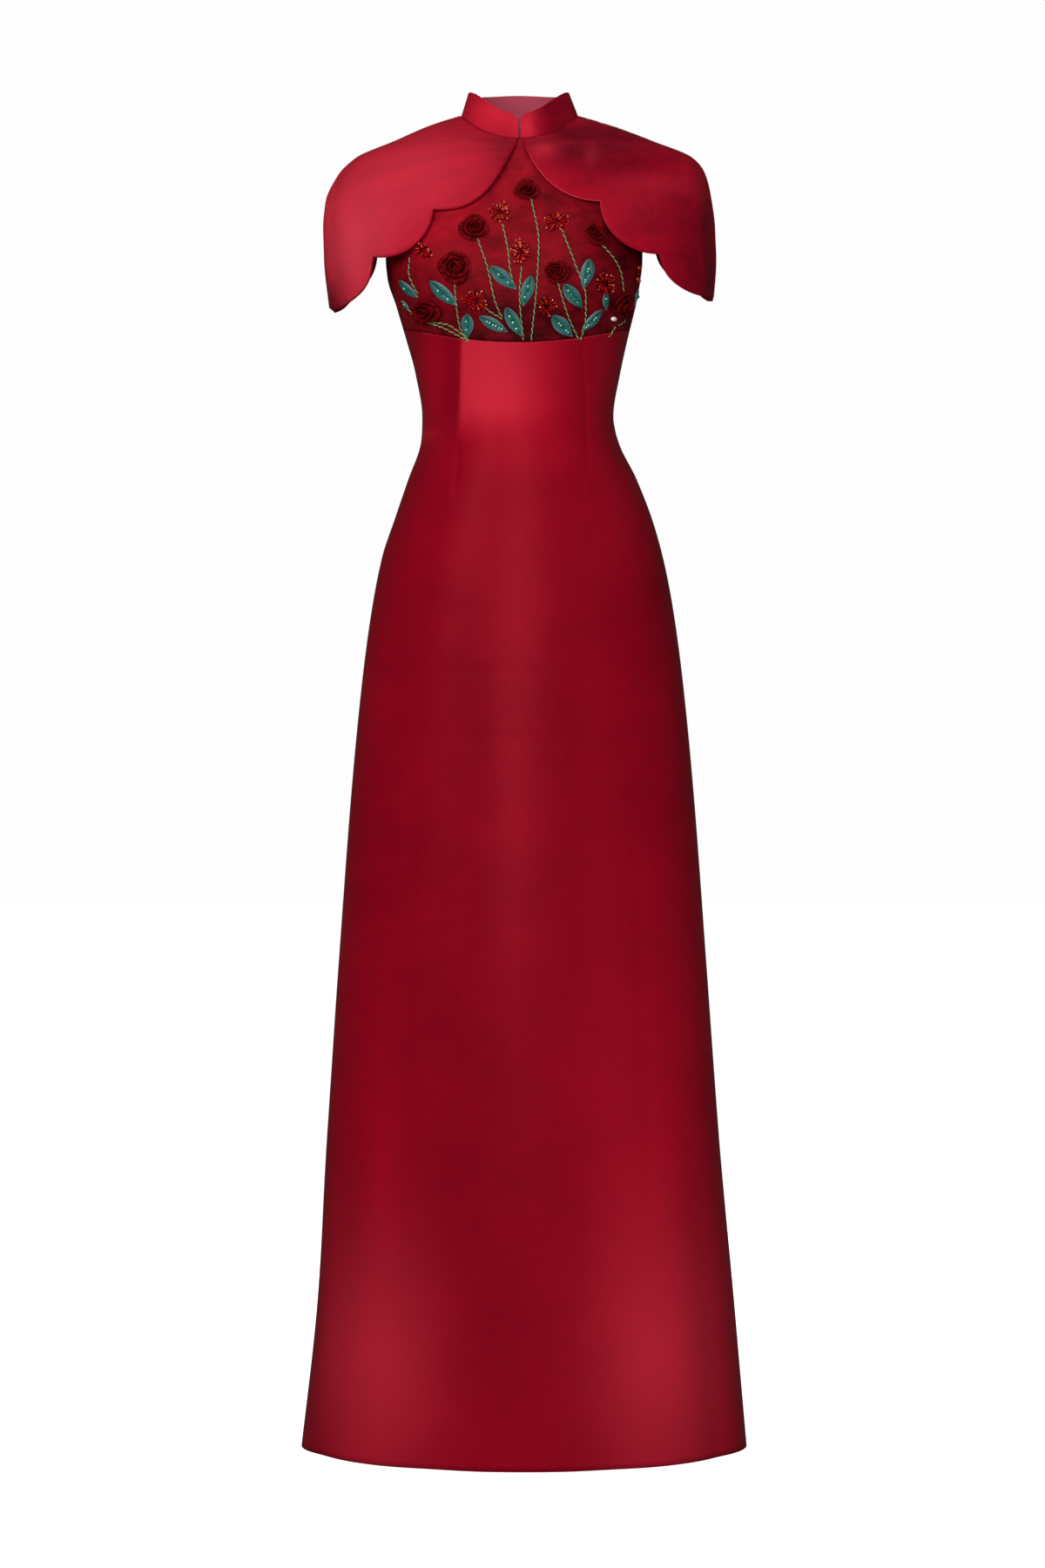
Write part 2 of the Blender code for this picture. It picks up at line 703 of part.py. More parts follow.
red_satin = finish("red satin", (0.30, 0.006, 0.02), 0.35)
capelet_satin = finish("crimson satin", (0.46, 0.01, 0.035), 0.4)
wine_net = finish("wine net", (0.17, 0.006, 0.015), 0.7)
wine_ribbon = finish("wine ribbon", (0.08, 0.002, 0.008), 0.5)
green_satin = finish("green satin", (0.03, 0.16, 0.13), 0.4)

make_skirt(red_satin)
front_yoke = make_yoke(wine_net)
make_capelet(capelet_satin)
make_collar(capelet_satin)
yoke_cloth = yoke_surface(front_yoke)
for number, rose in enumerate(ROSES, 1):
    make_rose(f"rose_{number}", rose, yoke_cloth, wine_ribbon)
for number, leaf in enumerate(LEAVES, 1):
    make_leaf(f"leaf_{number}", leaf, yoke_cloth, green_satin)
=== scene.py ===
"""The looks of an ao dai with a scalloped capelet, hollow as when it is worn.

Sizes are in millimetres until a mesh is made, and the studio's are in metres. Seen from the
front, which faces -Y, x runs to the right and z runs up from the points where the neck meets
the shoulders.
"""

from collections import namedtuple
import math

import bpy
import numpy as np
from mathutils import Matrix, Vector
from mathutils.geometry import delaunay_2d_cdt


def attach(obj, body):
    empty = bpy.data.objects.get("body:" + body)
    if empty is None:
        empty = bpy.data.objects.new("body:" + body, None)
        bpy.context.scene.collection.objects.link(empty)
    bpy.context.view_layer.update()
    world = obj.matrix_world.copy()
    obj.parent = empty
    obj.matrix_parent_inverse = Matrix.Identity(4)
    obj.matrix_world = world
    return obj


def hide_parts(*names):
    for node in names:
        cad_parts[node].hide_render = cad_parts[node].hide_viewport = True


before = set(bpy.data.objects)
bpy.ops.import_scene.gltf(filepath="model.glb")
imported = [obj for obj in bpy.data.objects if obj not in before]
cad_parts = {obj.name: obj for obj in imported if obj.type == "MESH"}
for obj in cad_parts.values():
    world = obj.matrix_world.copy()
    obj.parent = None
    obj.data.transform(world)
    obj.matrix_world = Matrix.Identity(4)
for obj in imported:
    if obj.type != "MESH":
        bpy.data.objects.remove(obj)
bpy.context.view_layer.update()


# The studio: a camera level with the middle of the dress and far off, a plain white floor in a
# white room, two strong soft lights at the front left and in front, one behind the dress, and
# two weak ones at the right and above.

MM = 0.001
CAMERA_DISTANCE = 5.0
CAMERA_HEIGHT = -0.716
CAMERA_LENS = 107.5
FLOOR_HEIGHT = -1.62
FLOOR_REACH = 30.0
FLOOR_CELLS = 12

camera = bpy.data.objects.new("camera", bpy.data.cameras.new("camera"))
camera.data.lens = CAMERA_LENS
camera.location = (0, -CAMERA_DISTANCE, CAMERA_HEIGHT)
camera.rotation_euler = (math.radians(90), 0, 0)
bpy.context.scene.collection.objects.link(camera)
bpy.context.scene.camera = camera
bpy.context.scene.view_settings.view_transform = "Standard"


def colour(text):
    """An sRGB hex value as linear red, green, blue and alpha."""
    parts = np.array([int(text[i:i + 2], 16) / 255 for i in (1, 3, 5)])
    linear = np.where(parts <= 0.04045, parts / 12.92, ((parts + 0.055) / 1.055) ** 2.4)
    return (*linear.tolist(), 1.0)


def add(tree, kind, inputs=None, **settings):
    """Adds a node, with its settings, and gives each named or numbered input a value or a link."""
    made = tree.nodes.new(kind)
    for name, value in settings.items():
        setattr(made, name, value)
    for name, value in (inputs or {}).items():
        if isinstance(value, bpy.types.NodeSocket):
            tree.links.new(value, made.inputs[name])
        else:
            made.inputs[name].default_value = value
    return made


def surface(name, inputs):
    """A material whose shader takes these inputs. Returns it with its tree and its shader."""
    material = bpy.data.materials.new(name)
    material.use_nodes = True
    tree = material.node_tree
    shader = tree.nodes["Principled BSDF"]
    for key, value in inputs.items():
        shader.inputs[key].default_value = value
    return material, tree, shader


def grid_faces(grid):
    """Faces of a grid of points whose rows run up and whose columns run left to right."""
    rows, columns = grid.shape[:2]
    corner = np.arange(rows * columns).reshape(rows, columns)
    loops = (corner[:-1, :-1], corner[:-1, 1:], corner[1:, 1:], corner[1:, :-1])
    return np.stack(loops, axis=-1).reshape(-1, 4)


def make_mesh(name, points, faces, materials, cut=None, facts=None, smooth=True):
    """An object from points in millimetres. cut is each point's place on the flat cloth, in
    metres, kept as a UV map, and facts are named numbers kept for each point."""
    if isinstance(faces, np.ndarray):
        faces = faces.tolist()
    mesh = bpy.data.meshes.new(name)
    mesh.from_pydata((np.reshape(points, (-1, 3)) * MM).tolist(), [], faces)
    if cut is not None:
        corners = np.empty(len(mesh.loops), int)
        mesh.loops.foreach_get("vertex_index", corners)
        places = np.reshape(cut, (-1, 2))[corners]
        mesh.uv_layers.new(name="cut").data.foreach_set("uv", places.ravel())
    for fact, values in (facts or {}).items():
        kept = mesh.attributes.new(fact, "FLOAT", "POINT")
        kept.data.foreach_set("value", np.ravel(values).astype(np.float32))
    for material in materials:
        mesh.materials.append(material)
    if smooth:
        mesh.shade_smooth()
    piece = bpy.data.objects.new(name, mesh)
    bpy.context.scene.collection.objects.link(piece)
    return piece


def floor_points():
    """A level floor: the same height over a square of evenly spaced places."""
    reach = np.linspace(-FLOOR_REACH, FLOOR_REACH, FLOOR_CELLS + 1)
    x, y = np.meshgrid(reach, reach)
    return np.stack((x, y, FLOOR_HEIGHT + 0 * x), axis=-1) / MM


# Matt white acrylic sheets, lit from below as well: they take a faint shadow and have no gloss.
acrylic, _, _ = surface("white acrylic floor, lit through", {
    "Base Color": colour("#B4B3B1"),
    "Roughness": 0.9,
    "Specular IOR Level": 0.0,
    "Emission Color": colour("#FFFFFF"),
    "Emission Strength": 0.94,
})
floor_grid = floor_points()
floor = make_mesh("floor", floor_grid, grid_faces(floor_grid), [acrylic])

# It isn't mirrored in the satin and sends no light to it: so close, its white would wash out
# the dress's dark sides.
floor.visible_glossy = False
floor.visible_diffuse = False

Light = namedtuple("Light", "name place aim width height watts tint")

LIGHTS = (
    Light("key", (-1.9, -3.3, 0.7), (0, 0, -0.45), 0.9, 1.5, 72, "#FFF8F2"),
    Light("front", (-0.15, -4.6, 0.42), (0, 0, -0.7), 0.4, 2.2, 98, "#FFFDFB"),
    Light("fill", (2.0, -3.6, -0.3), (0, 0, -0.8), 1.2, 2.0, 16, "#F4F8FF"),
    Light("top", (0.0, -0.5, 2.3), (0, 0.1, -0.2), 1.4, 1.0, 12, "#FFFFFF"),
    Light("behind", (0.1, 4.6, 0.42), (0, 0, -0.7), 0.5, 2.2, 110, "#FFFDFB"),
)

for light in LIGHTS:
    lamp = bpy.data.lights.new(light.name, "AREA")
    lamp.shape = "RECTANGLE"
    lamp.size = light.width
    lamp.size_y = light.height
    lamp.energy = light.watts
    lamp.color = colour(light.tint)[:3]
    holder = bpy.data.objects.new(light.name, lamp)
    holder.location = light.place
    way = Vector(light.aim) - Vector(light.place)
    holder.rotation_euler = way.to_track_quat("-Z", "Y").to_euler()
    holder.visible_camera = False
    bpy.context.scene.collection.objects.link(holder)

# The room is white behind the dress. It lights the dress far less than it shows, as black flags
# beside it out of view would, and the satin mirrors it less still.
ROOM_SHOWN = 0.985
ROOM_LIGHT = 0.22
ROOM_MIRRORED = 0.05

world = bpy.data.worlds.new("studio")
world.use_nodes = True
room = world.node_tree
ray = add(room, "ShaderNodeLightPath").outputs
by_gloss = add(room, "ShaderNodeMapRange", {
    "Value": ray["Is Glossy Ray"], "To Min": ROOM_LIGHT, "To Max": ROOM_MIRRORED})
strength = add(room, "ShaderNodeMapRange", {
    "Value": ray["Is Camera Ray"], "To Min": by_gloss.outputs[0], "To Max": ROOM_SHOWN})
room.links.new(strength.outputs[0], room.nodes["Background"].inputs["Strength"])
room.nodes["Background"].inputs["Color"].default_value = colour("#FFFFFF")
bpy.context.scene.world = world


# The front panel: one length of silk satin from the under-bust seam to the hem, shaped by two
# long waist darts, open at both sides from the hip down. It hangs in soft upright flutes.

Section = namedtuple("Section", "height half_width front back squareness sway")

DRESS_SECTIONS = (
    Section(2, 44, 10, 50, 2.0, -3),
    Section(-5, 60.5, 20, 53, 2.0, -3),
    Section(-11, 73, 29, 55, 2.0, -3),
    Section(-18, 90, 38, 59, 2.0, -3),
    Section(-25, 107, 46, 63, 2.0, -3.5),
    Section(-37, 123, 57, 70, 2.1, -4),
    Section(-50, 129, 65.5, 76, 2.25, -4.5),
    Section(-70, 132, 76, 83, 2.45, -5),
    Section(-92, 134, 85, 88, 2.5, -6),
    Section(-115, 136, 93, 92, 2.5, -7.5),
    Section(-135, 137, 99, 95, 2.45, -8.5),
    Section(-155, 137, 104, 96, 2.35, -9),
    Section(-177, 135, 107, 95, 2.25, -9),
    Section(-205, 128, 105, 91, 2.15, -7),
    Section(-242, 118, 97, 87, 2.1, -6),
    Section(-279, 109, 92, 84, 2.1, -5),
    Section(-324, 102, 90, 84, 2.1, -5),
    Section(-349, 105, 91, 88, 2.1, -3),
    Section(-391, 122, 95, 99, 2.1, 0),
    Section(-432, 137, 98, 108, 2.1, 1),
    Section(-474, 150, 101, 113, 2.1, 0),
    Section(-530, 161, 104, 116, 2.1, 0),
    Section(-604, 171, 107, 116, 2.1, 0),
    Section(-716, 182, 110, 114, 2.15, 0),
    Section(-902, 196, 115, 114, 2.2, 0),
    Section(-1088, 209, 120, 117, 2.25, 0.5),
    Section(-1274, 223, 126, 122, 2.3, 3.5),
    Section(-1435, 239, 131, 127, 2.35, 1.5),
)
BUST_APART = 170.0
BUST_HEIGHT = -177.0
BUST_RISE = 11.0
BUST_SPREAD = 46.0

# A flute's angle and half width are in degrees, and it deepens from its top down to the hem
Flute = namedtuple("Flute", "angle half_width depth top")

FLUTES = (
    Flute(-62, 9, 3, -900),
    Flute(-21, 10, 6, -780),
    Flute(19, 9, 5, -820),
    Flute(58, 9, 3, -940),
    Flute(128, 11, 7, -640),
    Flute(166, 10, 9, -560),
    Flute(203, 11, 8, -600),
    Flute(239, 10, 6, -700),
)

SATIN_WALL = 1.2
SEAM_GAP = 0.3
ALLOWANCE_WALL = 0.4
ALLOWANCE_CLEAR = 0.3
ALLOWANCE_REACH = 9.0
ALLOWANCE_ACROSS = 6
ALLOWANCE_ALONG = 59
ALLOWANCE_DEGREES = 3

# The heights that the turnings run between, just short of the slit, the armhole and the hem
SIDE_TURNINGS = (-428.0, -152.0)
BACK_TURNINGS = (-1419.0, -86.0)
UNDERARM = -146.0
SIDE_SEAM_AT_BUST = -233.0
BUST_SEAM_DIP = 20.0
SLIT_TOP = -432.0
HEM_SIDE = -1421.0
HEM_DIP_FRONT = 11.0
HEM_DIP_BACK = 5.0
FRONT_EDGE_WRAP = 3.0
SLIT_SPREAD = 9.0
ROW_CROWDING = 1.3
FRONT_PANEL_CELLS = (168, 232)

# Each crease runs between two points seen from the front. Its width and depth are across it.
Crease = namedtuple("Crease", "x0 z0 x1 z1 half_width depth")

FRONT_CREASES = (
    Crease(-64, -235, -70, -404, 2.6, 1.1),
    Crease(63, -235, 70, -402, 2.6, 0.9),
    Crease(-79, -396, -76, -418, 3.2, -0.8),
    Crease(68, -392, 71, -414, 3.2, -0.8),
    Crease(-112, -338, -72, -351, 4.0, 1.0),
    Crease(-106, -352, -60, -362, 6.0, 0.8),
    Crease(104, -341, 66, -350, 5.0, 0.8),
    Crease(-88, -366, -30, -372, 8.0, 0.6),
    Crease(86, -360, 20, -369, 9.0, 0.5),
    Crease(-120, -596, 90, -600, 5.0, 0.35),
    Crease(-90, -668, 128, -673, 6.0, 0.3),
    Crease(-58, -520, -66, -900, 11.0, 0.9),
    Crease(58, -560, 70, -980, 12.0, 0.8),
    Crease(-112, -640, -128, -1150, 9.0, 0.8),
    Crease(118, -700, 136, -1200, 10.0, 0.7),
)

# Painted light and shade, and painted sheen: soft patches seen from the front where the satin's
# colour is made lighter or darker by how the light falls, and paler where it gleams
Patch = namedtuple("Patch", "x z half_width half_height tone pale")

FRONT_PAINTED_LIGHT = (
    Patch(0, -430, 60, 60, 0.06, 0),
    Patch(0, -368, 64, 26, 0.22, 0.01),
    Patch(84, -290, 22, 60, 0.16, 0.01),
    Patch(92, -440, 30, 70, 0.12, 0.01),
    Patch(-6, -520, 34, 120, 0.10, 0.01),
    Patch(-10, -740, 20, 170, 0.11, 0.01),
    Patch(-7, -960, 6, 110, 0.03, 0),
    Patch(-148, -1130, 18, 190, 0.12, 0),
    Patch(120, -1060, 76, 280, 0.24, 0.01),
    Patch(148, -1230, 26, 190, 0.10, 0),
    Patch(0, -1400, 70, 60, 0.12, 0),
    Patch(-156, -1320, 70, 130, 0.32, 0.09),
    Patch(150, -1320, 76, 140, 0.38, 0.10),
    Patch(-224, -1300, 16, 160, -0.22, 0),
    Patch(-104, -345, 16, 8, 0.25, 0.02),
    Patch(-94, -290, 15, 70, 0.30, 0),
)
# How strong the bodice's painted highlight is, and its painted sheen
BODICE_PAINTED_LIGHT = 0.78
BODICE_PAINTED_SHEEN = 0.11

# The painted highlight on the bodice: the left dart's ends as heights and as x, how wide the step
# there is, where the fade to the right starts and ends and how far it goes, and where the fade to
# the waist starts and ends
DART_HEIGHTS = (-404, -235)
DART_X = (-70, -64)
DART_STEP = 5.0
RIGHT_FADE_X = (-34, 72)
RIGHT_FADE = 0.90
WAIST_FADE_Z = (-312, -370)


def smooth_through(places, values, at):
    """A cubic curve through the rows of a table. Its slope at a row is the harmonic mean of the
    slopes beside it, and level where those differ in sign, so that it never overshoots."""
    widths = np.diff(places)
    rises = np.diff(values) / widths
    before, after = rises[:-1], rises[1:]
    same_way = before * after > 0
    both = np.where(same_way, before + after, 1.0)
    slopes = np.concatenate((
        rises[:1],
        np.where(same_way, 2 * before * after / both, 0.0),
        rises[-1:],
    ))
    row = np.clip(np.searchsorted(places, at) - 1, 0, len(widths) - 1)
    t = np.clip((at - places[row]) / widths[row], 0.0, 1.0)
    return (
        values[row] * (1 + 2 * t) * (1 - t) ** 2
        + values[row + 1] * t * t * (3 - 2 * t)
        + slopes[row] * widths[row] * t * (1 - t) ** 2
        - slopes[row + 1] * widths[row] * t * t * (1 - t)
    )


def ease(t):
    """0 to 1 with level ends: three squares less two cubes, for a t that may run past them."""
    t = np.clip(t, 0.0, 1.0)
    return t * t * (3 - 2 * t)


class Form:
    """A standing hollow form of level sections. Each is a superellipse: at an angle from the
    front centre, x goes with the sine and y with the cosine, each to the power two over the
    squareness. The bust adds two round mounds, and the flutes sink the skirt."""

    def __init__(self, sections, bust=False, flutes=()):
        table = np.array(sorted(sections), float)
        self.heights = table[:, 0]
        self.columns = table[:, 1:].T
        self.bust = bust
        self.flutes = flutes

    def section(self, height):
        """The sizes of the form at a height, each a curve through its column of the table."""
        return [smooth_through(self.heights, column, height) for column in self.columns]

    def point(self, angle, height):
        """The form's point at an angle and a height, as the class says."""
        angle, height = np.broadcast_arrays(np.asarray(angle, float), height)
        half_width, front, back, squareness, sway = self.section(height)
        turn = np.radians(angle)
        across, along = np.sin(turn), np.cos(turn)
        power = 2 / squareness
        depth = np.where(along > 0, front, back)
        x = sway + half_width * np.sign(across) * np.abs(across) ** power
        y = -depth * np.sign(along) * np.abs(along) ** power
        if self.bust:
            for side in (-1, 1):
                off_x = (x - sway - side * BUST_APART / 2) / BUST_SPREAD
                off_z = (height - BUST_HEIGHT) / BUST_SPREAD
                y = y - BUST_RISE * np.exp(-off_x ** 2 - off_z ** 2) * np.clip(2 * along, 0, 1)
        for flute in self.flutes:
            off = (angle - flute.angle + 180) % 360 - 180
            grown = ease((flute.top - height) / (flute.top - HEM_SIDE))
            sunk = flute.depth * grown * np.exp(-((off / flute.half_width) ** 2))
            x = x - sunk * across
            y = y + sunk * along
        return np.stack((x, y, height), axis=-1)

    def angle_at(self, x, height):
        """The angle where the front of the form stands at x."""
        half_width, _, _, squareness, sway = self.section(height)
        share = np.clip((x - sway) / half_width, -1, 1)
        return np.degrees(np.arcsin(np.sign(share) * np.abs(share) ** (squareness / 2)))


DRESS = Form(DRESS_SECTIONS, bust=True, flutes=FLUTES)


def towards_front(angle):
    """1 at the front centre, 0 at the sides: the cosine, squared."""
    return np.clip(np.cos(np.radians(angle)), 0, 1) ** 2


def bust_seam(angle):
    """The height of the under-bust seam: level at the back, and lower towards the front by a
    cosine squared."""
    return SIDE_SEAM_AT_BUST - BUST_SEAM_DIP * towards_front(angle)


def hem(angle):
    """The height of the hem: highest at the sides, and lower towards the front and the back by
    a cosine squared."""
    back = towards_front(angle - 180)
    return HEM_SIDE - HEM_DIP_FRONT * towards_front(angle) - HEM_DIP_BACK * back


def slit_opened(height):
    """How far the slit has opened at a height, from 0 at its top to 1 at the hem."""
    return np.clip((SLIT_TOP - height) / (SLIT_TOP - HEM_SIDE), 0, 1)


def front_edge(height):
    """The angle of the front panel's edge: a quarter turn, and more as the slit opens."""
    return 90 + FRONT_EDGE_WRAP * slit_opened(height)


def back_edge(height):
    """The angle of the back panel's edge: the front one's, and the slit's spread further on."""
    return 90 + (FRONT_EDGE_WRAP + SLIT_SPREAD) * slit_opened(height)


def skirt_points(left_angle, right_angle, cells, push):
    """The grid between two side edges, each an angle for every height, set off by push. Rows
    crowd to the top, and each lies between the bust seam and the hem in the same share."""
    columns, rows = cells
    across = np.linspace(0, 1, columns + 1)[None, :]
    up = np.linspace(0, 1, rows + 1)[:, None]
    share = 1 - (1 - up) ** ROW_CROWDING
    side_height = HEM_SIDE + (SIDE_SEAM_AT_BUST - HEM_SIDE) * share
    angle = left_angle(side_height) * (1 - across) + right_angle(side_height) * across
    top = bust_seam(angle) - SEAM_GAP / 2
    height = hem(angle) * (1 - share) + top * share
    return DRESS.point(angle, height) + np.array(push)


def outward(points):
    """Unit normals of a grid: the run to the right crossed with the run up."""
    normal = np.cross(np.gradient(points, axis=1), np.gradient(points, axis=0))
    return normal / np.linalg.norm(normal, axis=-1, keepdims=True)


def creased(points, creases):
    """The grid with each crease sunk along the normals: its depth times a bell curve of the
    distance from its line, fading to nothing at its ends as a sine does."""
    x, z = points[..., 0], points[..., 2]
    sunk = np.zeros_like(x)
    for crease in creases:
        run_x, run_z = crease.x1 - crease.x0, crease.z1 - crease.z0
        share = ((x - crease.x0) * run_x + (z - crease.z0) * run_z) / (run_x ** 2 + run_z ** 2)
        share = np.clip(share, 0, 1)
        off = np.hypot(x - crease.x0 - share * run_x, z - crease.z0 - share * run_z)
        fade = np.sin(np.pi * share) ** 0.5
        sunk += crease.depth * fade * np.exp(-((off / crease.half_width) ** 2))
    return points - outward(points) * sunk[..., None]


def lengths_along(points, axis):
    """The length of cloth from a grid's first row or column to each point."""
    steps = np.linalg.norm(np.diff(points, axis=axis), axis=-1)
    return np.insert(np.cumsum(steps, axis=axis), 0, 0.0, axis=axis)


def cut_places(points, middle):
    """Where each point lies on the flat cloth, in metres: the length across from the middle
    column, and the length up from the bottom row."""
    across = lengths_along(points, 1)
    up = lengths_along(points, 0)
    return np.stack((across - across[:, middle:middle + 1], up), axis=-1) * MM


def painted_light_from(points, patches):
    """The painted light and shade and the painted sheen at each point: two sums of soft round
    patches, each a bell curve of the distance from its middle."""
    tone, pale = np.zeros((2, *points.shape[:-1]))
    for patch in patches:
        off_x = (points[..., 0] - patch.x) / patch.half_width
        off_z = (points[..., 2] - patch.z) / patch.half_height
        bell = np.exp(-off_x ** 2 - off_z ** 2)
        tone += patch.tone * bell
        pale += patch.pale * bell
    return {"tone": tone, "pale": pale}


def bodice_painted_highlight(points):
    """A painted highlight on the bodice between the darts, where it would lie full to the light: a
    step up at the left dart, a slow fade to the right one and a quicker fade at the waist,
    multiplied."""
    x, z = points[..., 0], points[..., 2]
    dart = np.interp(z, DART_HEIGHTS, DART_X)
    from_dart = ease((x - dart + DART_STEP / 2) / DART_STEP)
    fade_start, fade_end = RIGHT_FADE_X
    to_right = 1 - RIGHT_FADE * ease((x - fade_start) / (fade_end - fade_start))
    upper, lower = WAIST_FADE_Z
    to_waist = 1 - ease((upper - z) / (upper - lower))
    return from_dart * to_right * to_waist


# How far an even dye's patches differ, over how many spacings a warp and a weft change along
# their length, and how far threads differ from each other in the dye
EVEN_DYE = 0.45
WARP_RUN = 18
WEFT_RUN = 26
THREAD_CONTRAST = 0.28


def silk_satin(name, deep, bright, gloss, level, roughness, thread=0.9, slub=0.5, dye=7.0,
               cloudy=EVEN_DYE):
    """Woven satin, piece-dyed. Long warp floats run up the cloth and give fine upright streaks,
    thicker wefts give short level slubs, and the dye is a little uneven. Painted light and shade,
    kept for each point, raise or lower the colour, and painted sheen mixes in a pale pink. The
    thread spacing is in millimetres, about four times the real one, because that would not show.
    The dye's patches are so many to a metre, and cloudy is how far they differ."""
    material, tree, shader = surface(name, {
        "Roughness": roughness,
        "IOR": 1.46,
        "Specular IOR Level": level,
        "Specular Tint": colour(gloss),
    })
    place = add(tree, "ShaderNodeUVMap", uv_map="cut").outputs["UV"]
    per_thread = 1 / (thread * MM)
    warp_place = add(tree, "ShaderNodeMapping", {
        "Vector": place, "Scale": (per_thread, per_thread / WARP_RUN, 1)})
    warp = add(tree, "ShaderNodeTexNoise", {
        "Vector": warp_place.outputs[0], "Scale": 1.0, "Detail": 2.0, "Roughness": 0.6})
    weft_place = add(tree, "ShaderNodeMapping", {
        "Vector": place, "Scale": (per_thread / WEFT_RUN, per_thread, 1)})
    weft = add(tree, "ShaderNodeTexNoise", {
        "Vector": weft_place.outputs[0], "Scale": 1.0, "Detail": 2.0, "Roughness": 0.6})
    cloud = add(tree, "ShaderNodeTexNoise", {
        "Vector": place, "Scale": dye, "Detail": 5.0, "Roughness": 0.62})
    # The painted light and shade kept for each point, added to the threads' level
    tone = add(tree, "ShaderNodeAttribute", attribute_name="tone").outputs["Fac"]
    threads = add(tree, "ShaderNodeMath", {
        0: warp.outputs["Fac"], 1: weft.outputs["Fac"]}, operation="ADD")
    uneven = add(tree, "ShaderNodeMath", {
        0: threads.outputs[0], 1: slub * THREAD_CONTRAST, 2: tone}, operation="MULTIPLY_ADD")
    dyed = add(tree, "ShaderNodeMath", {
        0: cloud.outputs["Fac"], 1: cloudy, 2: uneven.outputs[0]}, operation="MULTIPLY_ADD")
    more_cloud = (cloudy - EVEN_DYE) / 2
    shade = add(tree, "ShaderNodeMapRange", {
        "Value": dyed.outputs[0], "From Min": more_cloud, "From Max": 1.2 + more_cloud})
    mixed = add(tree, "ShaderNodeMix", {
        "Factor": shade.outputs[0], 6: colour(deep), 7: colour(bright)}, data_type="RGBA")
    # The painted sheen kept for each point mixes the colour towards a pale pink
    pale = add(tree, "ShaderNodeAttribute", attribute_name="pale").outputs["Fac"]
    painted_sheen_mix = add(tree, "ShaderNodeMix", {
        "Factor": pale, 6: mixed.outputs[2], 7: colour("#CC5E70")}, data_type="RGBA")
    tree.links.new(painted_sheen_mix.outputs[2], shader.inputs["Base Color"])
    bump = add(tree, "ShaderNodeBump", {
        "Height": threads.outputs[0], "Strength": 0.22, "Distance": 0.25 * MM})
    tree.links.new(bump.outputs[0], shader.inputs["Normal"])
    return material


def matt_back(name, hue):
    """The back of the satin: the wefts show there, so it is duller and has no floats."""
    material, tree, shader = surface(name, {
        "Base Color": colour(hue),
        "Roughness": 0.75,
        "Specular IOR Level": 0.0,
    })
    place = add(tree, "ShaderNodeUVMap", uv_map="cut").outputs["UV"]
    weave_place = add(tree, "ShaderNodeMapping", {"Vector": place, "Scale": (900, 1100, 1)})
    weave = add(tree, "ShaderNodeTexNoise", {"Vector": weave_place.outputs[0], "Scale": 1.0})
    bump = add(tree, "ShaderNodeBump", {
        "Height": weave.outputs["Fac"], "Strength": 0.2, "Distance": 0.2 * MM})
    tree.links.new(bump.outputs[0], shader.inputs["Normal"])
    return material


def cloth_wall(piece, thickness):
    """Gives an open sheet its thickness inwards. The inner side takes the second material."""
    solid = piece.modifiers.new("wall", "SOLIDIFY")
    solid.thickness = thickness * MM
    solid.offset = -1
    solid.material_offset = 1
    solid.material_offset_rim = 0


def cloth(name, grid, materials, wall, middle=0, facts=None):
    """A sheet of cloth from a grid of points, with its wall. Its flat width is measured from
    the middle column."""
    piece = make_mesh(name, grid, grid_faces(grid), materials, cut_places(grid, middle), facts)
    cloth_wall(piece, wall)
    return piece


def worn(piece, nodes):
    """The piece stands for these nodes and moves with the garment."""
    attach(piece, "root")
    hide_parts(*nodes)


def allowance(name, angle, height, sunk):
    """The turnings of a seam, pressed open inside the cloth: a strip over the seam on the form,
    sunk along its normals by more than the cloth's wall."""
    grid = DRESS.point(angle, height)
    grid = grid - outward(grid) * sunk
    strip = cloth(name, grid, [skirt_back, skirt_back], ALLOWANCE_WALL)
    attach(strip, "root")
    return strip


def upright_allowance(name, seam_angle, ends, radius):
    """A strip up a seam that stands at one angle. Each point's angle off the seam is its way
    across over the form's radius, which is given for every height."""
    height = np.linspace(*ends, ALLOWANCE_ALONG + 1)[:, None]
    across = np.linspace(-ALLOWANCE_REACH, ALLOWANCE_REACH, ALLOWANCE_ACROSS + 1)[None, :]
    return allowance(name, seam_angle + np.degrees(across / radius(height)), height + 0 * across,
                     SATIN_WALL + ALLOWANCE_CLEAR)


def half_width_at(height):
    """The form's half width, which is its radius at the back."""
    return DRESS.section(height)[0]


def depth_at(height):
    """The form's depth in front, which is its radius at the sides."""
    return DRESS.section(height)[1]


def level_allowance(name):
    """A strip round the under-bust seam."""
    angle = np.arange(-180, 181, ALLOWANCE_DEGREES)[None, :]
    rise = np.linspace(-ALLOWANCE_REACH, ALLOWANCE_REACH, ALLOWANCE_ACROSS + 1)[:, None]
    return allowance(name, angle + 0 * rise, bust_seam(angle) + rise,
                     SATIN_WALL + 2 * ALLOWANCE_CLEAR + ALLOWANCE_WALL)


half_gap = SEAM_GAP / 2
skirt_satin = silk_satin(
    "silk satin, dark red", "#4C000D", "#B80C26", gloss="#FF6874", level=0.11, roughness=0.36)
skirt_back = matt_back("back of the dark red satin", "#560210")

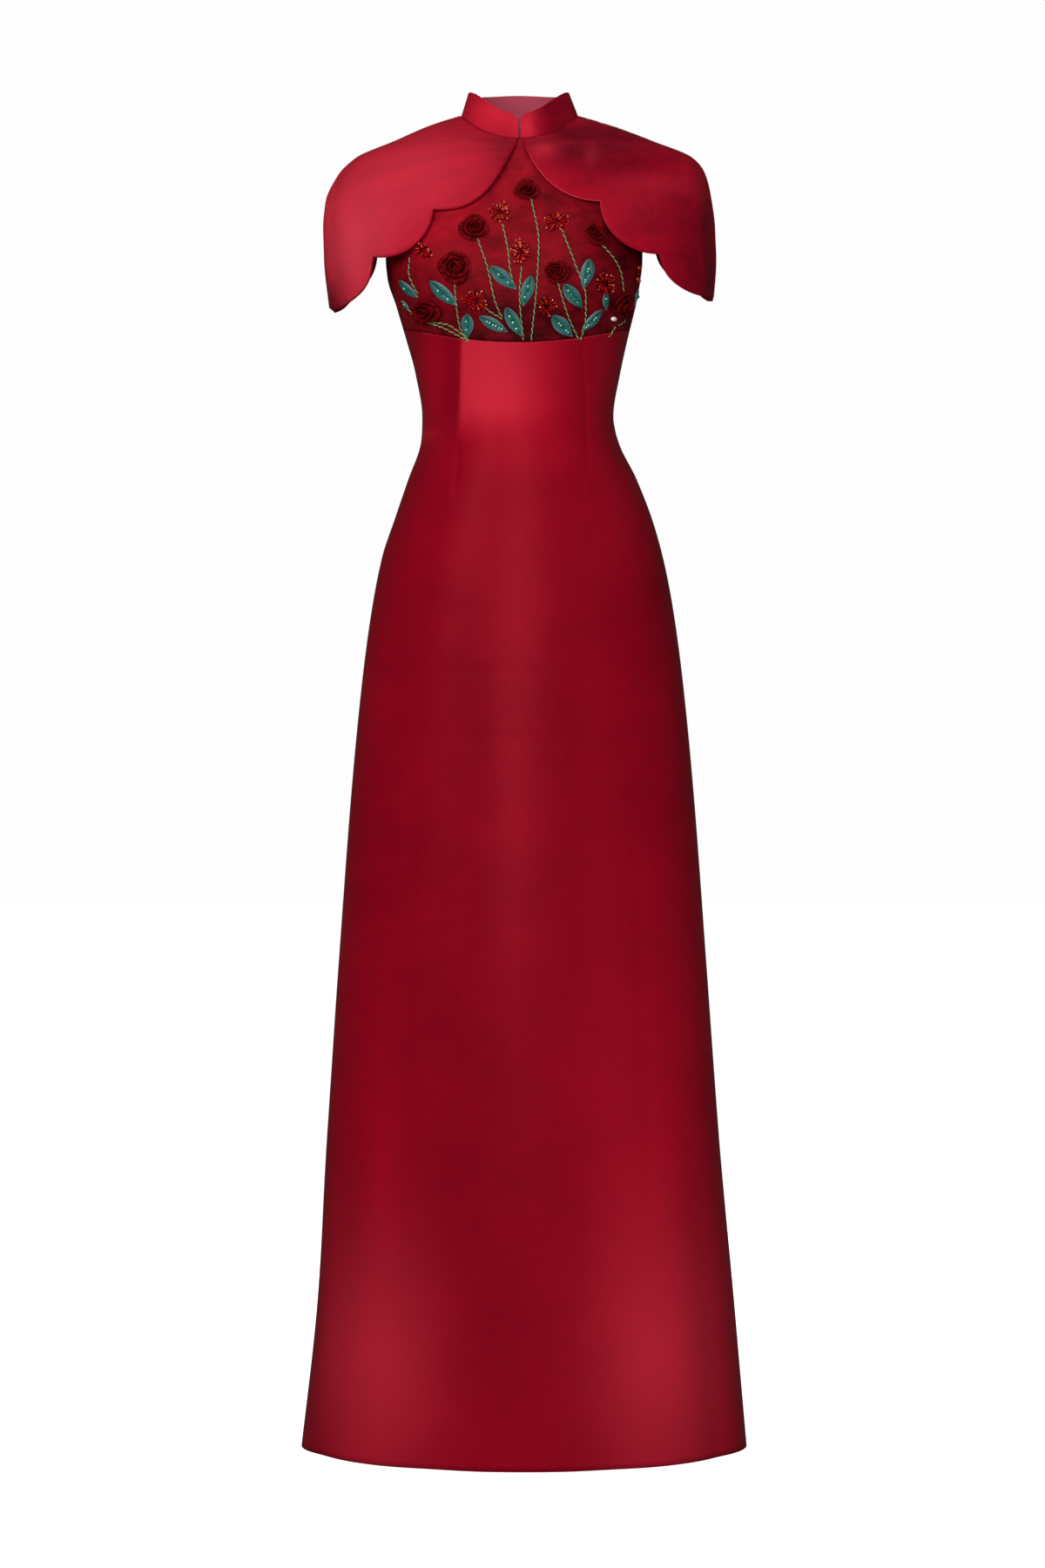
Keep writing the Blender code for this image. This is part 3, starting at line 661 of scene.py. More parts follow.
panel_grid = skirt_points(
    lambda z: -front_edge(z), front_edge, FRONT_PANEL_CELLS, (0, -half_gap, 0)
)
# Painted light, shade and sheen on the front panel, as the light falls on it, with the painted
# highlight on the bodice added
panel_light = painted_light_from(panel_grid, FRONT_PAINTED_LIGHT)
bodice_light = bodice_painted_highlight(panel_grid)
panel_light["tone"] += BODICE_PAINTED_LIGHT * bodice_light
panel_light["pale"] += BODICE_PAINTED_SHEEN * bodice_light ** 2
panel_grid = creased(panel_grid, FRONT_CREASES)
front_panel = cloth(
    "front_panel_cloth", panel_grid, [skirt_satin, skirt_back], SATIN_WALL,
    FRONT_PANEL_CELLS[0] // 2, panel_light,
)
worn(front_panel, ["front_panel"])
seam_turnings = [
    upright_allowance(f"side_seam_allowance_{side}", angle, SIDE_TURNINGS, depth_at)
    for side, angle in (("left", -90), ("right", 90))
]
seam_turnings.append(level_allowance("bust_seam_allowance"))
seam_turnings.append(
    upright_allowance("centre_back_allowance", 180, BACK_TURNINGS, half_width_at)
)


# The back panels: the same satin in two lengths, sewn together down the centre back. They are
# plain, with deeper flutes than the front, because the back of the skirt is fuller.

BACK_PANEL_CELLS = (92, 190)

BACK_CREASES = (
    Crease(-58, -255, -66, -420, 3.0, 0.8),
    Crease(58, -255, 66, -420, 3.0, 0.8),
    Crease(-104, -344, -40, -356, 6.0, 1.1),
    Crease(104, -344, 40, -356, 6.0, 1.1),
    Crease(-92, -368, -20, -376, 8.0, 0.8),
    Crease(92, -368, 20, -374, 8.0, 0.7),
    Crease(-34, -470, -40, -900, 12.0, 1.0),
    Crease(46, -500, 58, -980, 12.0, 0.9),
)
# Painted light, shade and sheen on the back panels, as the same kind of soft patches
BACK_PAINTED_LIGHT = (
    Patch(-20, -470, 60, 70, 0.25, 0.02),
    Patch(60, -620, 34, 240, 0.16, 0),
    Patch(-90, -900, 30, 300, 0.12, 0),
    Patch(0, -1340, 220, 120, 0.20, 0.05),
)


def centre_back(height):
    """The angle of the centre back: half a turn at every height."""
    return 180 + 0 * height


def back_panel(name, left_angle, right_angle, push, middle, nodes):
    """One length of the back, between two edges."""
    grid = skirt_points(left_angle, right_angle, BACK_PANEL_CELLS, push)
    light = painted_light_from(grid, BACK_PAINTED_LIGHT)
    grid = creased(grid, BACK_CREASES)
    piece = cloth(name, grid, [skirt_satin, skirt_back], SATIN_WALL, middle, light)
    worn(piece, nodes)


back_panel("back_panel_left_cloth", lambda z: -centre_back(z), lambda z: -back_edge(z),
           (-half_gap, half_gap, 0), 0, ["back_panel_left"])
back_panel("back_panel_right_cloth", back_edge, centre_back,
           (half_gap, half_gap, 0), BACK_PANEL_CELLS[0], ["back_panel_right"])


# The yokes: the upper front and the two halves of the upper back, cut from fine wine-red net
# laid over satin. The net is eased on, so it lies in small soft wrinkles over the bust.

SHOULDER_TIP = -25.0
ARMHOLE_CUT = 32.0
ARMHOLE_ROUNDNESS = 0.6
YOKE_WALL = 1.0
YOKE_NECK_INSET = 1.6
YOKE_NECK_DROP = 2.8
YOKE_FRONT_DROP = 1.3
FRONT_YOKE_CELLS = (168, 112)
BACK_YOKE_CELLS = (80, 91)
FRONT_NECK_SHARE = 8 / 12
BACK_NECK_SHARE = 6 / 10

NeckOval = namedtuple("NeckOval", "half_width front back side_z front_z back_z fall sway")

NECK_SEAM = NeckOval(62, 60, 52, -2, -34, 2, 1.5, -3)

NET_WRINKLES = (
    Crease(-88, -116, -42, -100, 2.4, -0.8),
    Crease(-94, -140, -46, -100, 2.4, 0.8),
    Crease(-98, -152, -70, -124, 2.4, -0.7),
    Crease(-30, -152, -62, -108, 4.0, 0.35),
    Crease(60, -104, 96, -128, 3.6, -0.45),
    Crease(52, -118, 92, -146, 3.4, -0.4),
    Crease(-10, -128, 22, -150, 4.2, 0.3),
    Crease(-112, -176, -96, -222, 4.6, 0.5),
    Crease(100, -172, 92, -226, 4.6, 0.45),
    Crease(-30, -224, 8, -206, 4.0, 0.3),
)


def oval_point(oval, angle, inset=0.0, drop=0.0):
    """A point of a neck oval, or of one drawn in and lowered: an ellipse seen from above, its
    height falling from the sides to the front and back with a power of the cosine."""
    turn = np.radians(np.asarray(angle, float))
    across, along = np.sin(turn), np.cos(turn)
    depth = np.where(along > 0, oval.front, oval.back) - inset
    end_z = np.where(along > 0, oval.front_z, oval.back_z)
    x = oval.sway + (oval.half_width - inset) * across
    z = oval.side_z + (end_z - oval.side_z) * np.abs(along) ** oval.fall - drop
    return np.stack((x, -depth * along, z), axis=-1)


def armhole_angle(height):
    """How far round the side edge of a yoke stands: 90 degrees at the side seam, and less in
    the armhole by a power of a sine."""
    rise = np.clip((height - UNDERARM) / (SHOULDER_TIP - UNDERARM), 0, 1)
    return 90 - ARMHOLE_CUT * np.sin(np.pi * rise) ** ARMHOLE_ROUNDNESS


def yoke_points(side, share, rows, neck_share, front, push):
    """The grid of a yoke. side is -1 on the left and 1 on the right. share runs from 0 at the
    centre to 1 at the side seam, with the neck up to neck_share and the shoulder beyond it."""
    share = share[None, :]
    step = np.linspace(0, 1, rows + 1)[:, None]
    up = np.sin(np.pi / 2 * step)

    side_height = SIDE_SEAM_AT_BUST + (SHOULDER_TIP - SIDE_SEAM_AT_BUST) * up
    neck_turn = 90 * np.clip(share / neck_share, 0, 1)
    past_neck = np.clip((share - neck_share) / (1 - neck_share), 0, 1)
    bottom = bust_seam(90 * share) if front else SIDE_SEAM_AT_BUST
    behind = 0 if front else 180
    middle_drop = YOKE_FRONT_DROP if front else YOKE_NECK_DROP
    drop = YOKE_NECK_DROP + (middle_drop - YOKE_NECK_DROP) * towards_front(neck_turn)
    neck = oval_point(NECK_SEAM, side * abs(behind - neck_turn), YOKE_NECK_INSET, drop)
    top = neck[..., 2] + (SHOULDER_TIP - neck[..., 2]) * past_neck
    height = (bottom + SEAM_GAP / 2) * (1 - up) + top * up

    # Across, a point leaves its place round the body for its place along the neck or shoulder
    leaves, joins = 0.45, 0.7
    around = DRESS.point(side * share * armhole_angle(side_height), height)[..., 0]
    along_top = np.where(past_neck > 0, DRESS.point(side * 90, top)[..., 0], neck[..., 0])
    to_top = ease((up - leaves) / (1 - leaves))
    angle = DRESS.angle_at(around * (1 - to_top) + along_top * to_top, height)

    points = DRESS.point(side * abs(behind - abs(angle)), height)
    neck_angle = DRESS.angle_at(neck[..., 0], neck[..., 2])
    to_neck = neck - DRESS.point(side * abs(behind - abs(neck_angle)), neck[..., 2])
    hold = ease((up - joins) / (1 - joins)) * (past_neck == 0)
    return points + to_neck * hold[..., None] + np.array(push)


# Painted light and shade on the front yoke: lighter at the upper left and the middle, darker at
# the right, and painted shade along the bottom
YOKE_PAINTED_LIGHT = (
    Patch(-92, -128, 42, 36, 0.42, 0),
    Patch(-50, -100, 40, 26, 0.20, 0),
    Patch(4, -66, 30, 30, 0.16, 0),
    Patch(92, -150, 30, 44, -0.25, 0),
    Patch(0, -236, 100, 34, -0.46, 0),
)

# The size of a hole in the net, and how far its threads slant from upright, in radians
NET_HOLE = 1.3
NET_SLANT = 0.7


def net_over_satin(name, deep, bright):
    """Fine net laid over satin: two sets of threads crossing slantwise, dark holes between
    them, and cloudy lighter places where the net lies in more than one layer."""
    material, tree, shader = surface(name, {
        "Roughness": 0.62,
        "IOR": 1.46,
        "Specular IOR Level": 0.18,
        "Specular Tint": colour("#FF9090"),
    })
    place = add(tree, "ShaderNodeUVMap", uv_map="cut").outputs["UV"]
    per_hole = 1 / (NET_HOLE * MM)
    sets = []
    for slant in (NET_SLANT, -NET_SLANT):
        turned = add(tree, "ShaderNodeMapping", {
            "Vector": place, "Rotation": (0, 0, slant), "Scale": (per_hole, per_hole, 1)})
        sets.append(add(tree, "ShaderNodeTexWave", {
            "Vector": turned.outputs[0], "Scale": 0.32, "Distortion": 0.6, "Detail": 1.0}))
    net = add(tree, "ShaderNodeMath", {
        0: sets[0].outputs["Fac"], 1: sets[1].outputs["Fac"]}, operation="MAXIMUM")
    stretched = add(tree, "ShaderNodeMapping", {
        "Vector": place, "Rotation": (0, 0, 0.5), "Scale": (34, 62, 1)})
    ease_lines = add(tree, "ShaderNodeTexNoise", {
        "Vector": stretched.outputs[0], "Scale": 1.0, "Detail": 5.0, "Roughness": 0.62,
        "Distortion": 0.7})
    # The eased wrinkle lines set the net's colour as well as its bump: lighter on their rises and
    # darker in their hollows, painted light and shade of the small folds
    height = add(tree, "ShaderNodeMath", {
        0: net.outputs[0], 1: 0.16, 2: ease_lines.outputs["Fac"]}, operation="MULTIPLY_ADD")
    patchy = add(tree, "ShaderNodeTexNoise", {
        "Vector": place, "Scale": 42.0, "Detail": 3.0, "Roughness": 0.55})
    layered = add(tree, "ShaderNodeMapRange", {
        "Value": patchy.outputs["Fac"], "From Min": 0.3, "From Max": 0.7,
        "To Min": -0.16, "To Max": 0.16})
    cloudy_height = add(tree, "ShaderNodeMath", {
        0: height.outputs[0], 1: layered.outputs[0]}, operation="ADD")
    # The painted light and shade kept for each point raise or lower the net's level
    tone = add(tree, "ShaderNodeAttribute", attribute_name="tone").outputs["Fac"]
    lit = add(tree, "ShaderNodeMath", {
        0: cloudy_height.outputs[0], 1: tone}, operation="ADD")
    level = add(tree, "ShaderNodeMapRange", {
        "Value": lit.outputs[0], "From Min": 0.1, "From Max": 1.1})
    mixed = add(tree, "ShaderNodeMix", {
        "Factor": level.outputs[0], 6: colour(deep), 7: colour(bright)}, data_type="RGBA")
    tree.links.new(mixed.outputs[2], shader.inputs["Base Color"])
    bump = add(tree, "ShaderNodeBump", {
        "Height": height.outputs[0], "Strength": 0.5, "Distance": 0.5 * MM})
    tree.links.new(bump.outputs[0], shader.inputs["Normal"])
    return material


wine_net = net_over_satin("net over wine satin", "#2E0006", "#9A0C1E")
yoke_back = matt_back("back of the wine satin", "#8E2A3C")


def yoke(name, grid, middle, node, creases):
    """One piece of the yoke, from its grid. Only the front one is wrinkled, and only it has
    painted light and shade.
    """
    light = painted_light_from(grid, YOKE_PAINTED_LIGHT if creases else ())
    grid = creased(grid, creases)
    piece = cloth(name, grid, [wine_net, yoke_back], YOKE_WALL, middle, light)
    worn(piece, [node])


across_front = np.linspace(-1, 1, FRONT_YOKE_CELLS[0] + 1)
yoke(
    "front_yoke_cloth",
    yoke_points(np.sign(across_front), abs(across_front), FRONT_YOKE_CELLS[1],
                FRONT_NECK_SHARE, True, (0, -half_gap, 0)),
    FRONT_YOKE_CELLS[0] // 2, "front_yoke", NET_WRINKLES,
)
from_centre = np.linspace(0, 1, BACK_YOKE_CELLS[0] + 1)
yoke(
    "back_yoke_left_cloth",
    yoke_points(-1, from_centre, BACK_YOKE_CELLS[1], BACK_NECK_SHARE, False,
                (-half_gap, half_gap, 0)),
    0, "back_yoke_left", (),
)
yoke(
    "back_yoke_right_cloth",
    yoke_points(1, from_centre[::-1], BACK_YOKE_CELLS[1], BACK_NECK_SHARE, False,
                (half_gap, half_gap, 0)),
    BACK_YOKE_CELLS[0], "back_yoke_right", (),
)


# The capelet: one piece of stiff satin organza with a scalloped edge, laid over both shoulders
# and open at the front, where its edge curves away from the neck. The edge is narrowly rolled.

CAPELET_SECTIONS = (
    Section(4, 44, 12, 51, 2.0, -2.5),
    Section(-2, 62.5, 29, 56, 2.0, -2.5),
    Section(-9, 84.5, 43, 61, 2.0, -2.5),
    Section(-16, 104, 51, 66, 2.0, -1.5),
    Section(-30, 138, 62.5, 75, 2.0, 1.0),
    Section(-48, 180.5, 73, 85, 2.0, 2.2),
    Section(-66, 196.5, 82, 92, 2.0, 0),
    Section(-95, 206.5, 93, 100, 2.0, -3.4),
    Section(-125, 209.5, 102, 104, 2.0, -3.2),
    Section(-150, 209.5, 107, 106, 2.0, -2.4),
    Section(-215, 203.5, 110, 104, 2.0, -1.0),
)
CAPELET = Form(CAPELET_SECTIONS)

# Each scallop is a cubic curve from its start past two guides to its end, as (x, z)
Scallop = namedtuple("Scallop", "start leave arrive end steps")

RIGHT_OPENING = Scallop((0, -36), (12, -68), (31, -103), (82, -104), 36)
RIGHT_SCALLOPS = (
    Scallop((82, -104), (84, -134), (104, -159), (145, -158), 26),
    Scallop((146, -160), (150, -187), (170, -201), (203, -199), 22),
)
LEFT_OPENING = Scallop((-5, -36), (-23, -69), (-36, -119), (-94, -113), 36)
LEFT_SCALLOPS = (
    Scallop((-94, -113), (-96, -142), (-121, -168), (-156, -161), 26),
    Scallop((-158, -163), (-158, -187), (-175, -209), (-200, -211), 22),
)
BACK_SCALLOP = Scallop((82, -104), (60, -178), (-72, -184), (-94, -113), 44)

# Behind, the edge is the front's mirrored and lifted, less and less towards the sides
BACK_LIFT = 22.0
LIFT_FROM = 204.0
LIFT_OVER = 30.0

COLLAR_SPLIT = 1.2
CAPELET_ACROSS = 4.4
CAPELET_ALONG = 3.8
CAPELET_CLEAR = 2.0
CAPELET_NECK_STEPS = 120
NECK_REACH = 45.0

# Soft ripples round the cloth: each one's height, how many go round, the angle in radians that
# it starts at, and the height over which it leans by a radian. They grow away from the neck.
Ripple = namedtuple("Ripple", "height count start lean")

RIPPLES = (
    Ripple(1.5, 7, 0.6, math.inf),
    Ripple(1.1, 11, 2.1, math.inf),
    Ripple(0.7, 19, 0.0, 60.0),
)
RIPPLE_FROM = 60.0
RIPPLE_OVER = 150.0

# The step round a form when its girth is measured, and a square too small to divide by
RING_DEGREES = 5
TINY = 1e-12


class FlatForm:
    """A form laid out flat so that small shapes keep their proportions: across is the angle
    in radians, and up is the distance down the side, each step divided by the form's size."""

    def __init__(self, form):
        self.heights = np.arange(form.heights[-1], form.heights[0] - 1, -1.0)
        steps = np.linalg.norm(np.diff(form.point(90, self.heights), axis=0), axis=1)
        rings = form.point(np.arange(0, 360, RING_DEGREES)[None, :], self.heights[:, None])
        round_it = np.linalg.norm(rings - np.roll(rings, 1, axis=1), axis=-1).sum(axis=1)
        self.sizes = round_it / (2 * np.pi)
        self.lengths = np.concatenate(([0], np.cumsum(steps)))
        self.ups = -np.concatenate(([0], np.cumsum(steps / self.sizes[1:])))

    def spots(self, angle, height):
        """The flat places of angles and heights, read off between the measured levels."""
        up = np.interp(-height, -self.heights, self.ups)
        return np.stack((np.radians(angle), up), axis=-1)

    def angle_and_height(self, spots):
        """The angles and heights of flat places: the same, read off the other way."""
        height = np.interp(-spots[:, 1], -self.ups, self.heights)
        return np.degrees(spots[:, 0]), height

    def length_at(self, height):
        """How far down the side a height is, along the form."""
        return np.interp(-height, -self.heights, self.lengths)

    def size_at(self, height):
        """The form's girth at a height over a full turn in radians: its mean radius."""
        return np.interp(-height, -self.heights, self.sizes)


def curve_points(scallop):
    """The points of a scallop: a cubic Bezier curve at even steps."""
    t = np.linspace(0, 1, scallop.steps + 1)[:, None]
    guides = np.array(scallop[:4], float)
    weights = ((1 - t) ** 3, 3 * t * (1 - t) ** 2, 3 * t * t * (1 - t), t ** 3)
    return sum(weight * guide for weight, guide in zip(weights, guides))


def capelet_neck():
    """The neck seam from right to left round the back: its points, and the angle and height
    of the form behind each."""
    split = math.degrees(COLLAR_SPLIT / NECK_SEAM.half_width)
    neck = oval_point(NECK_SEAM, np.linspace(split, 360 - split, CAPELET_NECK_STEPS + 1))
    height = neck[:, 2]
    half_width, front, back, _, sway = CAPELET.section(height)
    depth = np.where(neck[:, 1] < 0, front, back)
    across, along = (neck[:, 0] - sway) / half_width, -neck[:, 1] / depth
    return neck, np.degrees(np.unwrap(np.arctan2(across, along))), height


def capelet_edge():
    """The free edge as (angle, height): from the neck down the right opening, round the back
    and up the left opening to the neck."""
    def seen_from_front(points, start=0):
        """The angles and heights where the form's front shows at these points."""
        angle = start + CAPELET.angle_at(points[:, 0], points[:, 1])
        return np.stack((angle, points[:, 1]), axis=-1)

    def seen_from_behind(points):
        """The same for its back, with the points lifted away from the sides."""
        lift = BACK_LIFT * ease((LIFT_FROM - abs(points[:, 0])) / LIFT_OVER)
        height = points[:, 1] + lift
        angle = 180 - CAPELET.angle_at(points[:, 0], height)
        return np.stack((angle, height), axis=-1)

    right = np.concatenate([curve_points(scallop)[1:] for scallop in RIGHT_SCALLOPS])
    left = np.concatenate([curve_points(scallop)[1:] for scallop in LEFT_SCALLOPS])
    return np.concatenate((
        seen_from_front(curve_points(RIGHT_OPENING)[1:]),
        seen_from_front(right),
        seen_from_behind(right[::-1]),
        seen_from_behind(curve_points(BACK_SCALLOP)),
        seen_from_behind(left),
        seen_from_front(left[::-1], 360),
        seen_from_front(curve_points(LEFT_OPENING)[:0:-1], 360),
    ))


def inside(spots, outline):
    """Which spots lie inside a closed outline: those whose line to the right meets it an odd
    number of times."""
    across, up = spots[:, :1], spots[:, 1:]
    start_across, start_up = outline.T
    end_across, end_up = np.roll(outline, -1, axis=0).T
    passes = (start_up > up) != (end_up > up)
    rise = np.where(end_up == start_up, 1, end_up - start_up)
    meets = start_across + (up - start_up) * (end_across - start_across) / rise
    return (passes & (across < meets)).sum(axis=1) % 2 == 1


def distance_to(spots, outline):
    """How far each spot is from a closed outline: the least distance to any of its runs."""
    run = np.roll(outline, -1, axis=0) - outline
    off = spots[:, None] - outline
    share = (off * run).sum(axis=-1) / np.maximum((run ** 2).sum(axis=-1), TINY)
    share = np.clip(share, 0, 1)
    return np.linalg.norm(off - share[..., None] * run, axis=-1).min(axis=1)


def capelet_inner_spots(flat, outline):
    """Rings of spots inside the outline, every other ring set half a step round."""
    lengths = np.arange(CAPELET_ALONG, flat.lengths[-1], CAPELET_ALONG)
    spots = []
    for number, length in enumerate(lengths):
        height = np.interp(length, flat.lengths, flat.heights)
        size = flat.size_at(height)
        count = round(2 * math.pi * size / CAPELET_ACROSS)
        angle = (np.arange(count) + 0.5 * (number % 2)) * 360 / count
        ring = flat.spots(angle, np.full(count, height))
        clear = distance_to(ring, outline) * size > CAPELET_CLEAR
        spots.append(ring[clear & inside(ring, outline)])
    return np.concatenate(spots)


class CapeletCloth:
    """The capelet's outer surface: its form, drawn in to the neck seam near the neck."""

    def __init__(self):
        self.flat = FlatForm(CAPELET)
        self.neck, self.neck_angle, self.neck_height = capelet_neck()
        self.to_neck = self.neck - CAPELET.point(self.neck_angle, self.neck_height)

    def points(self, angle, height):
        """The form's points, shifted as far as the neck seam is from the form, less and less
        with the length of cloth from the neck, and rippled."""
        neck_height = np.interp(angle, self.neck_angle, self.neck_height)
        from_neck = self.flat.length_at(height) - self.flat.length_at(neck_height)
        hold = ease(1 - from_neck / NECK_REACH)[:, None]
        shift = np.stack(
            [np.interp(angle, self.neck_angle, part) for part in self.to_neck.T], axis=-1
        )
        return CAPELET.point(angle, height) + shift * hold + self.ripple(angle, height, from_neck)

    def ripple(self, angle, height, from_neck):
        """Soft ripples that run down the cloth and grow away from the neck: a few sines of the
        angle, pointing away from the form's upright middle line."""
        grown = ease((from_neck - RIPPLE_FROM) / RIPPLE_OVER)
        turn = np.radians(angle)
        wave = sum(
            ripple.height * np.sin(ripple.count * turn + ripple.start + height / ripple.lean)
            for ripple in RIPPLES
        )
        away = np.stack((np.sin(turn), -np.cos(turn), 0 * turn), axis=-1)
        return away * (wave * grown)[:, None]


organza = {
    "deep": "#380010",
    "bright": "#CF142D",
    "gloss": "#FF7880",
    "thread": 0.8,
    "slub": 1.0,
    "dye": 20.0,
    "cloudy": 0.62,
}
capelet_satin = silk_satin("satin organza, crimson", level=0.09, roughness=0.46, **organza)
capelet_back = matt_back("back of the crimson organza", "#6E0A1A")

capelet_cloth = CapeletCloth()
edge = capelet_edge()
outline = np.concatenate((
    capelet_cloth.flat.spots(edge[:, 0], edge[:, 1]),
    capelet_cloth.flat.spots(capelet_cloth.neck_angle[::-1], capelet_cloth.neck_height[::-1]),
))
spots = np.concatenate((outline, capelet_inner_spots(capelet_cloth.flat, outline)))

# Triangles are kept only inside the outline, and spots this near each other count as one
ONLY_INSIDE = 1
SAME_SPOT = 1e-6
spots, _, triangles, _, _, _ = delaunay_2d_cdt(
    [Vector(spot) for spot in spots.tolist()], [], [list(range(len(outline)))],
    ONLY_INSIDE, SAME_SPOT,
)
angle, height = capelet_cloth.flat.angle_and_height(np.array(spots))
capelet_points = capelet_cloth.points(angle, height)
capelet_cut = np.stack((
    np.radians(angle) * capelet_cloth.flat.size_at(height), -capelet_cloth.flat.length_at(height)
), axis=-1) * MM

# Painted light and shade on the capelet: lighter on the left, darker on the right, with painted
# highlights along its folds and some painted sheen
CAPELET_PAINTED_LIGHT = (
    Patch(-120, -80, 80, 60, 0.26, 0.13),
    Patch(-60, -50, 50, 30, 0.03, 0.01),
    Patch(-178, -155, 40, 64, 0.32, 0.22),
    Patch(-205, -110, 12, 40, 0.22, 0.04),
    Patch(-200, -205, 14, 26, -0.34, -0.06),
    Patch(-20, -50, 18, 24, -0.22, 0),
    Patch(80, -40, 70, 34, -0.33, 0),
    Patch(62, -56, 50, 24, -0.03, 0),
    Patch(150, -104, 40, 34, -0.14, 0),
    Patch(190, -170, 34, 60, -0.26, 0),
    Patch(112, -110, 44, 26, 0.06, 0.02),
    Patch(23, -48, 14, 11, 0.26, 0.05),
    Patch(72, -54, 7, 11, 0.10, 0.05),
    Patch(47, -31, 30, 8, -0.08, 0),
    Patch(146, -82, 50, 12, 0.07, 0.03),
    Patch(113, -66, 26, 10, -0.08, 0),
)
capelet = make_mesh(
    "capelet_cloth", capelet_points, triangles, [capelet_satin, capelet_back], capelet_cut,
    painted_light_from(capelet_points, CAPELET_PAINTED_LIGHT),
)
cloth_wall(capelet, SATIN_WALL)
worn(capelet, ["capelet"])

# The roll has painted light along the right opening, from its top to a fade that starts this far
# to the right, and painted shade elsewhere
EDGE_ROLL = 0.85
ROLL_SIDES = 10
ROLL_SIDE_WIDTH = 0.5
ROLL_LIT_OVER = 12.0
ROLL_LIT_TO = 110.0
ROLL_LIT_FADE = 40.0
ROLL_PAINTED_LIGHT = 0.34
ROLL_PAINTED_SHEEN = 0.16
ROLL_PAINTED_SHADE = 0.12


def tube(path, normals, radius, sides):
    """A round profile carried along a path. At each point it stands square to the path, with
    the surface's normal for one of its axes."""
    along = np.gradient(path, axis=0)
    side = np.cross(along, normals)
    side /= np.linalg.norm(side, axis=1, keepdims=True)
    rise = np.cross(side, along)
    rise /= np.linalg.norm(rise, axis=1, keepdims=True)
    turn = np.linspace(0, 2 * np.pi, sides + 1)[:-1]
    turn = turn[None, :, None]
    ring = np.cos(turn) * side[:, None] + np.sin(turn) * rise[:, None]
    points = path[:, None] + radius * ring
    steps = np.arange(len(path) - 1)[:, None] * sides
    here = np.arange(sides)[None, :]
    after = (here + 1) % sides
    corners = (steps + here, steps + after, steps + sides + after, steps + sides + here)
    return points.reshape(-1, 3), np.stack(corners, axis=-1).reshape(-1, 4)


def normals_off(cloth_points, angle, height):
    """Normals of a cloth given as a function of angle and height, from small steps of both."""
    step = 0.4
    across = cloth_points(angle + step, height) - cloth_points(angle - step, height)
    up = cloth_points(angle, height + step) - cloth_points(angle, height - step)
    normal = np.cross(across, up)
    return normal / np.linalg.norm(normal, axis=1, keepdims=True)


edge_normals = normals_off(capelet_cloth.points, edge[:, 0], edge[:, 1])
edge_path = capelet_cloth.points(edge[:, 0], edge[:, 1]) - edge_normals * SATIN_WALL / 2
roll_points, roll_faces = tube(edge_path, edge_normals, EDGE_ROLL, ROLL_SIDES)
roll_along = np.repeat(lengths_along(edge_path[None], 1)[0], ROLL_SIDES)
roll_across = np.tile(np.arange(ROLL_SIDES) * ROLL_SIDE_WIDTH, len(edge_path))
roll_x = roll_points[:, 0]
lit = ease(roll_x / ROLL_LIT_OVER) * ease((ROLL_LIT_TO - roll_x) / ROLL_LIT_FADE)

# The same organza, rolled between the fingers and whipped: the floats are broken, so the roll
# doesn't gleam.
rolled_satin = silk_satin("satin organza, crimson, rolled", level=0.0, roughness=0.7, **organza)
edge_roll = make_mesh(
    "capelet_rolled_edge", roll_points, roll_faces, [rolled_satin],
    np.stack((roll_along, roll_across), axis=-1) * MM,
    {"tone": ROLL_PAINTED_LIGHT * lit - ROLL_PAINTED_SHADE, "pale": ROLL_PAINTED_SHEEN * lit},
)
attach(edge_roll, "root")


# The collar: a standing band of the capelet's satin, stiffened, split at the front, where its
# top corners are rounded. Inside it shows its paler pink lining.

COLLAR_TOP = NeckOval(54, 53, 50, 21, -8, 26, 3.0, -4)
COLLAR_CORNER = 9.0
COLLAR_CORNER_DEPTH = 12.0
COLLAR_GAP = 0.1
COLLAR_WALL = 2.4
COLLAR_SOFTNESS = 0.7
COLLAR_CORNER_CELLS = 14
COLLAR_BODY_CELLS = 200
COLLAR_ROWS = 18
# Painted light and shade on the collar: lighter at the left and by the split, darker at the right,
# with some painted sheen
COLLAR_PAINTED_LIGHT = (
    Patch(-32, -6, 30, 26, 0.36, 0.07),
    Patch(6, -22, 8, 16, 0.42, 0.08),
    Patch(-6, -20, 6, 16, 0.12, 0.05),
    Patch(36, -8, 24, 30, -0.28, 0),
)


def collar_points():
    """The band between the neck seam and the collar's top oval. Near the split its top follows
    a quarter circle down."""
    split = math.degrees(COLLAR_SPLIT / NECK_SEAM.half_width)
    corner = math.degrees(COLLAR_CORNER / NECK_SEAM.half_width)
    end = corner * (1 - np.cos(np.linspace(0, np.pi / 2, COLLAR_CORNER_CELLS + 1)[:-1]))
    body = np.linspace(corner, 360 - 2 * split - corner, COLLAR_BODY_CELLS + 1)
    turn = split + np.concatenate((end, body, 360 - 2 * split - end[::-1]))
    from_end = np.minimum(turn - split, 360 - split - turn)
    off = np.clip(1 - from_end / corner, 0, 1)
    rounded = COLLAR_CORNER_DEPTH * (1 - np.sqrt(1 - off ** 2))
    bottom = oval_point(NECK_SEAM, turn, drop=-COLLAR_GAP)
    top = oval_point(COLLAR_TOP, turn)
    rise = top[:, 2] - bottom[:, 2]
    up = np.linspace(0, 1, COLLAR_ROWS + 1)[:, None, None]
    share = up * (1 - rounded / rise)[None, :, None]
    return bottom * (1 - share) + top * share


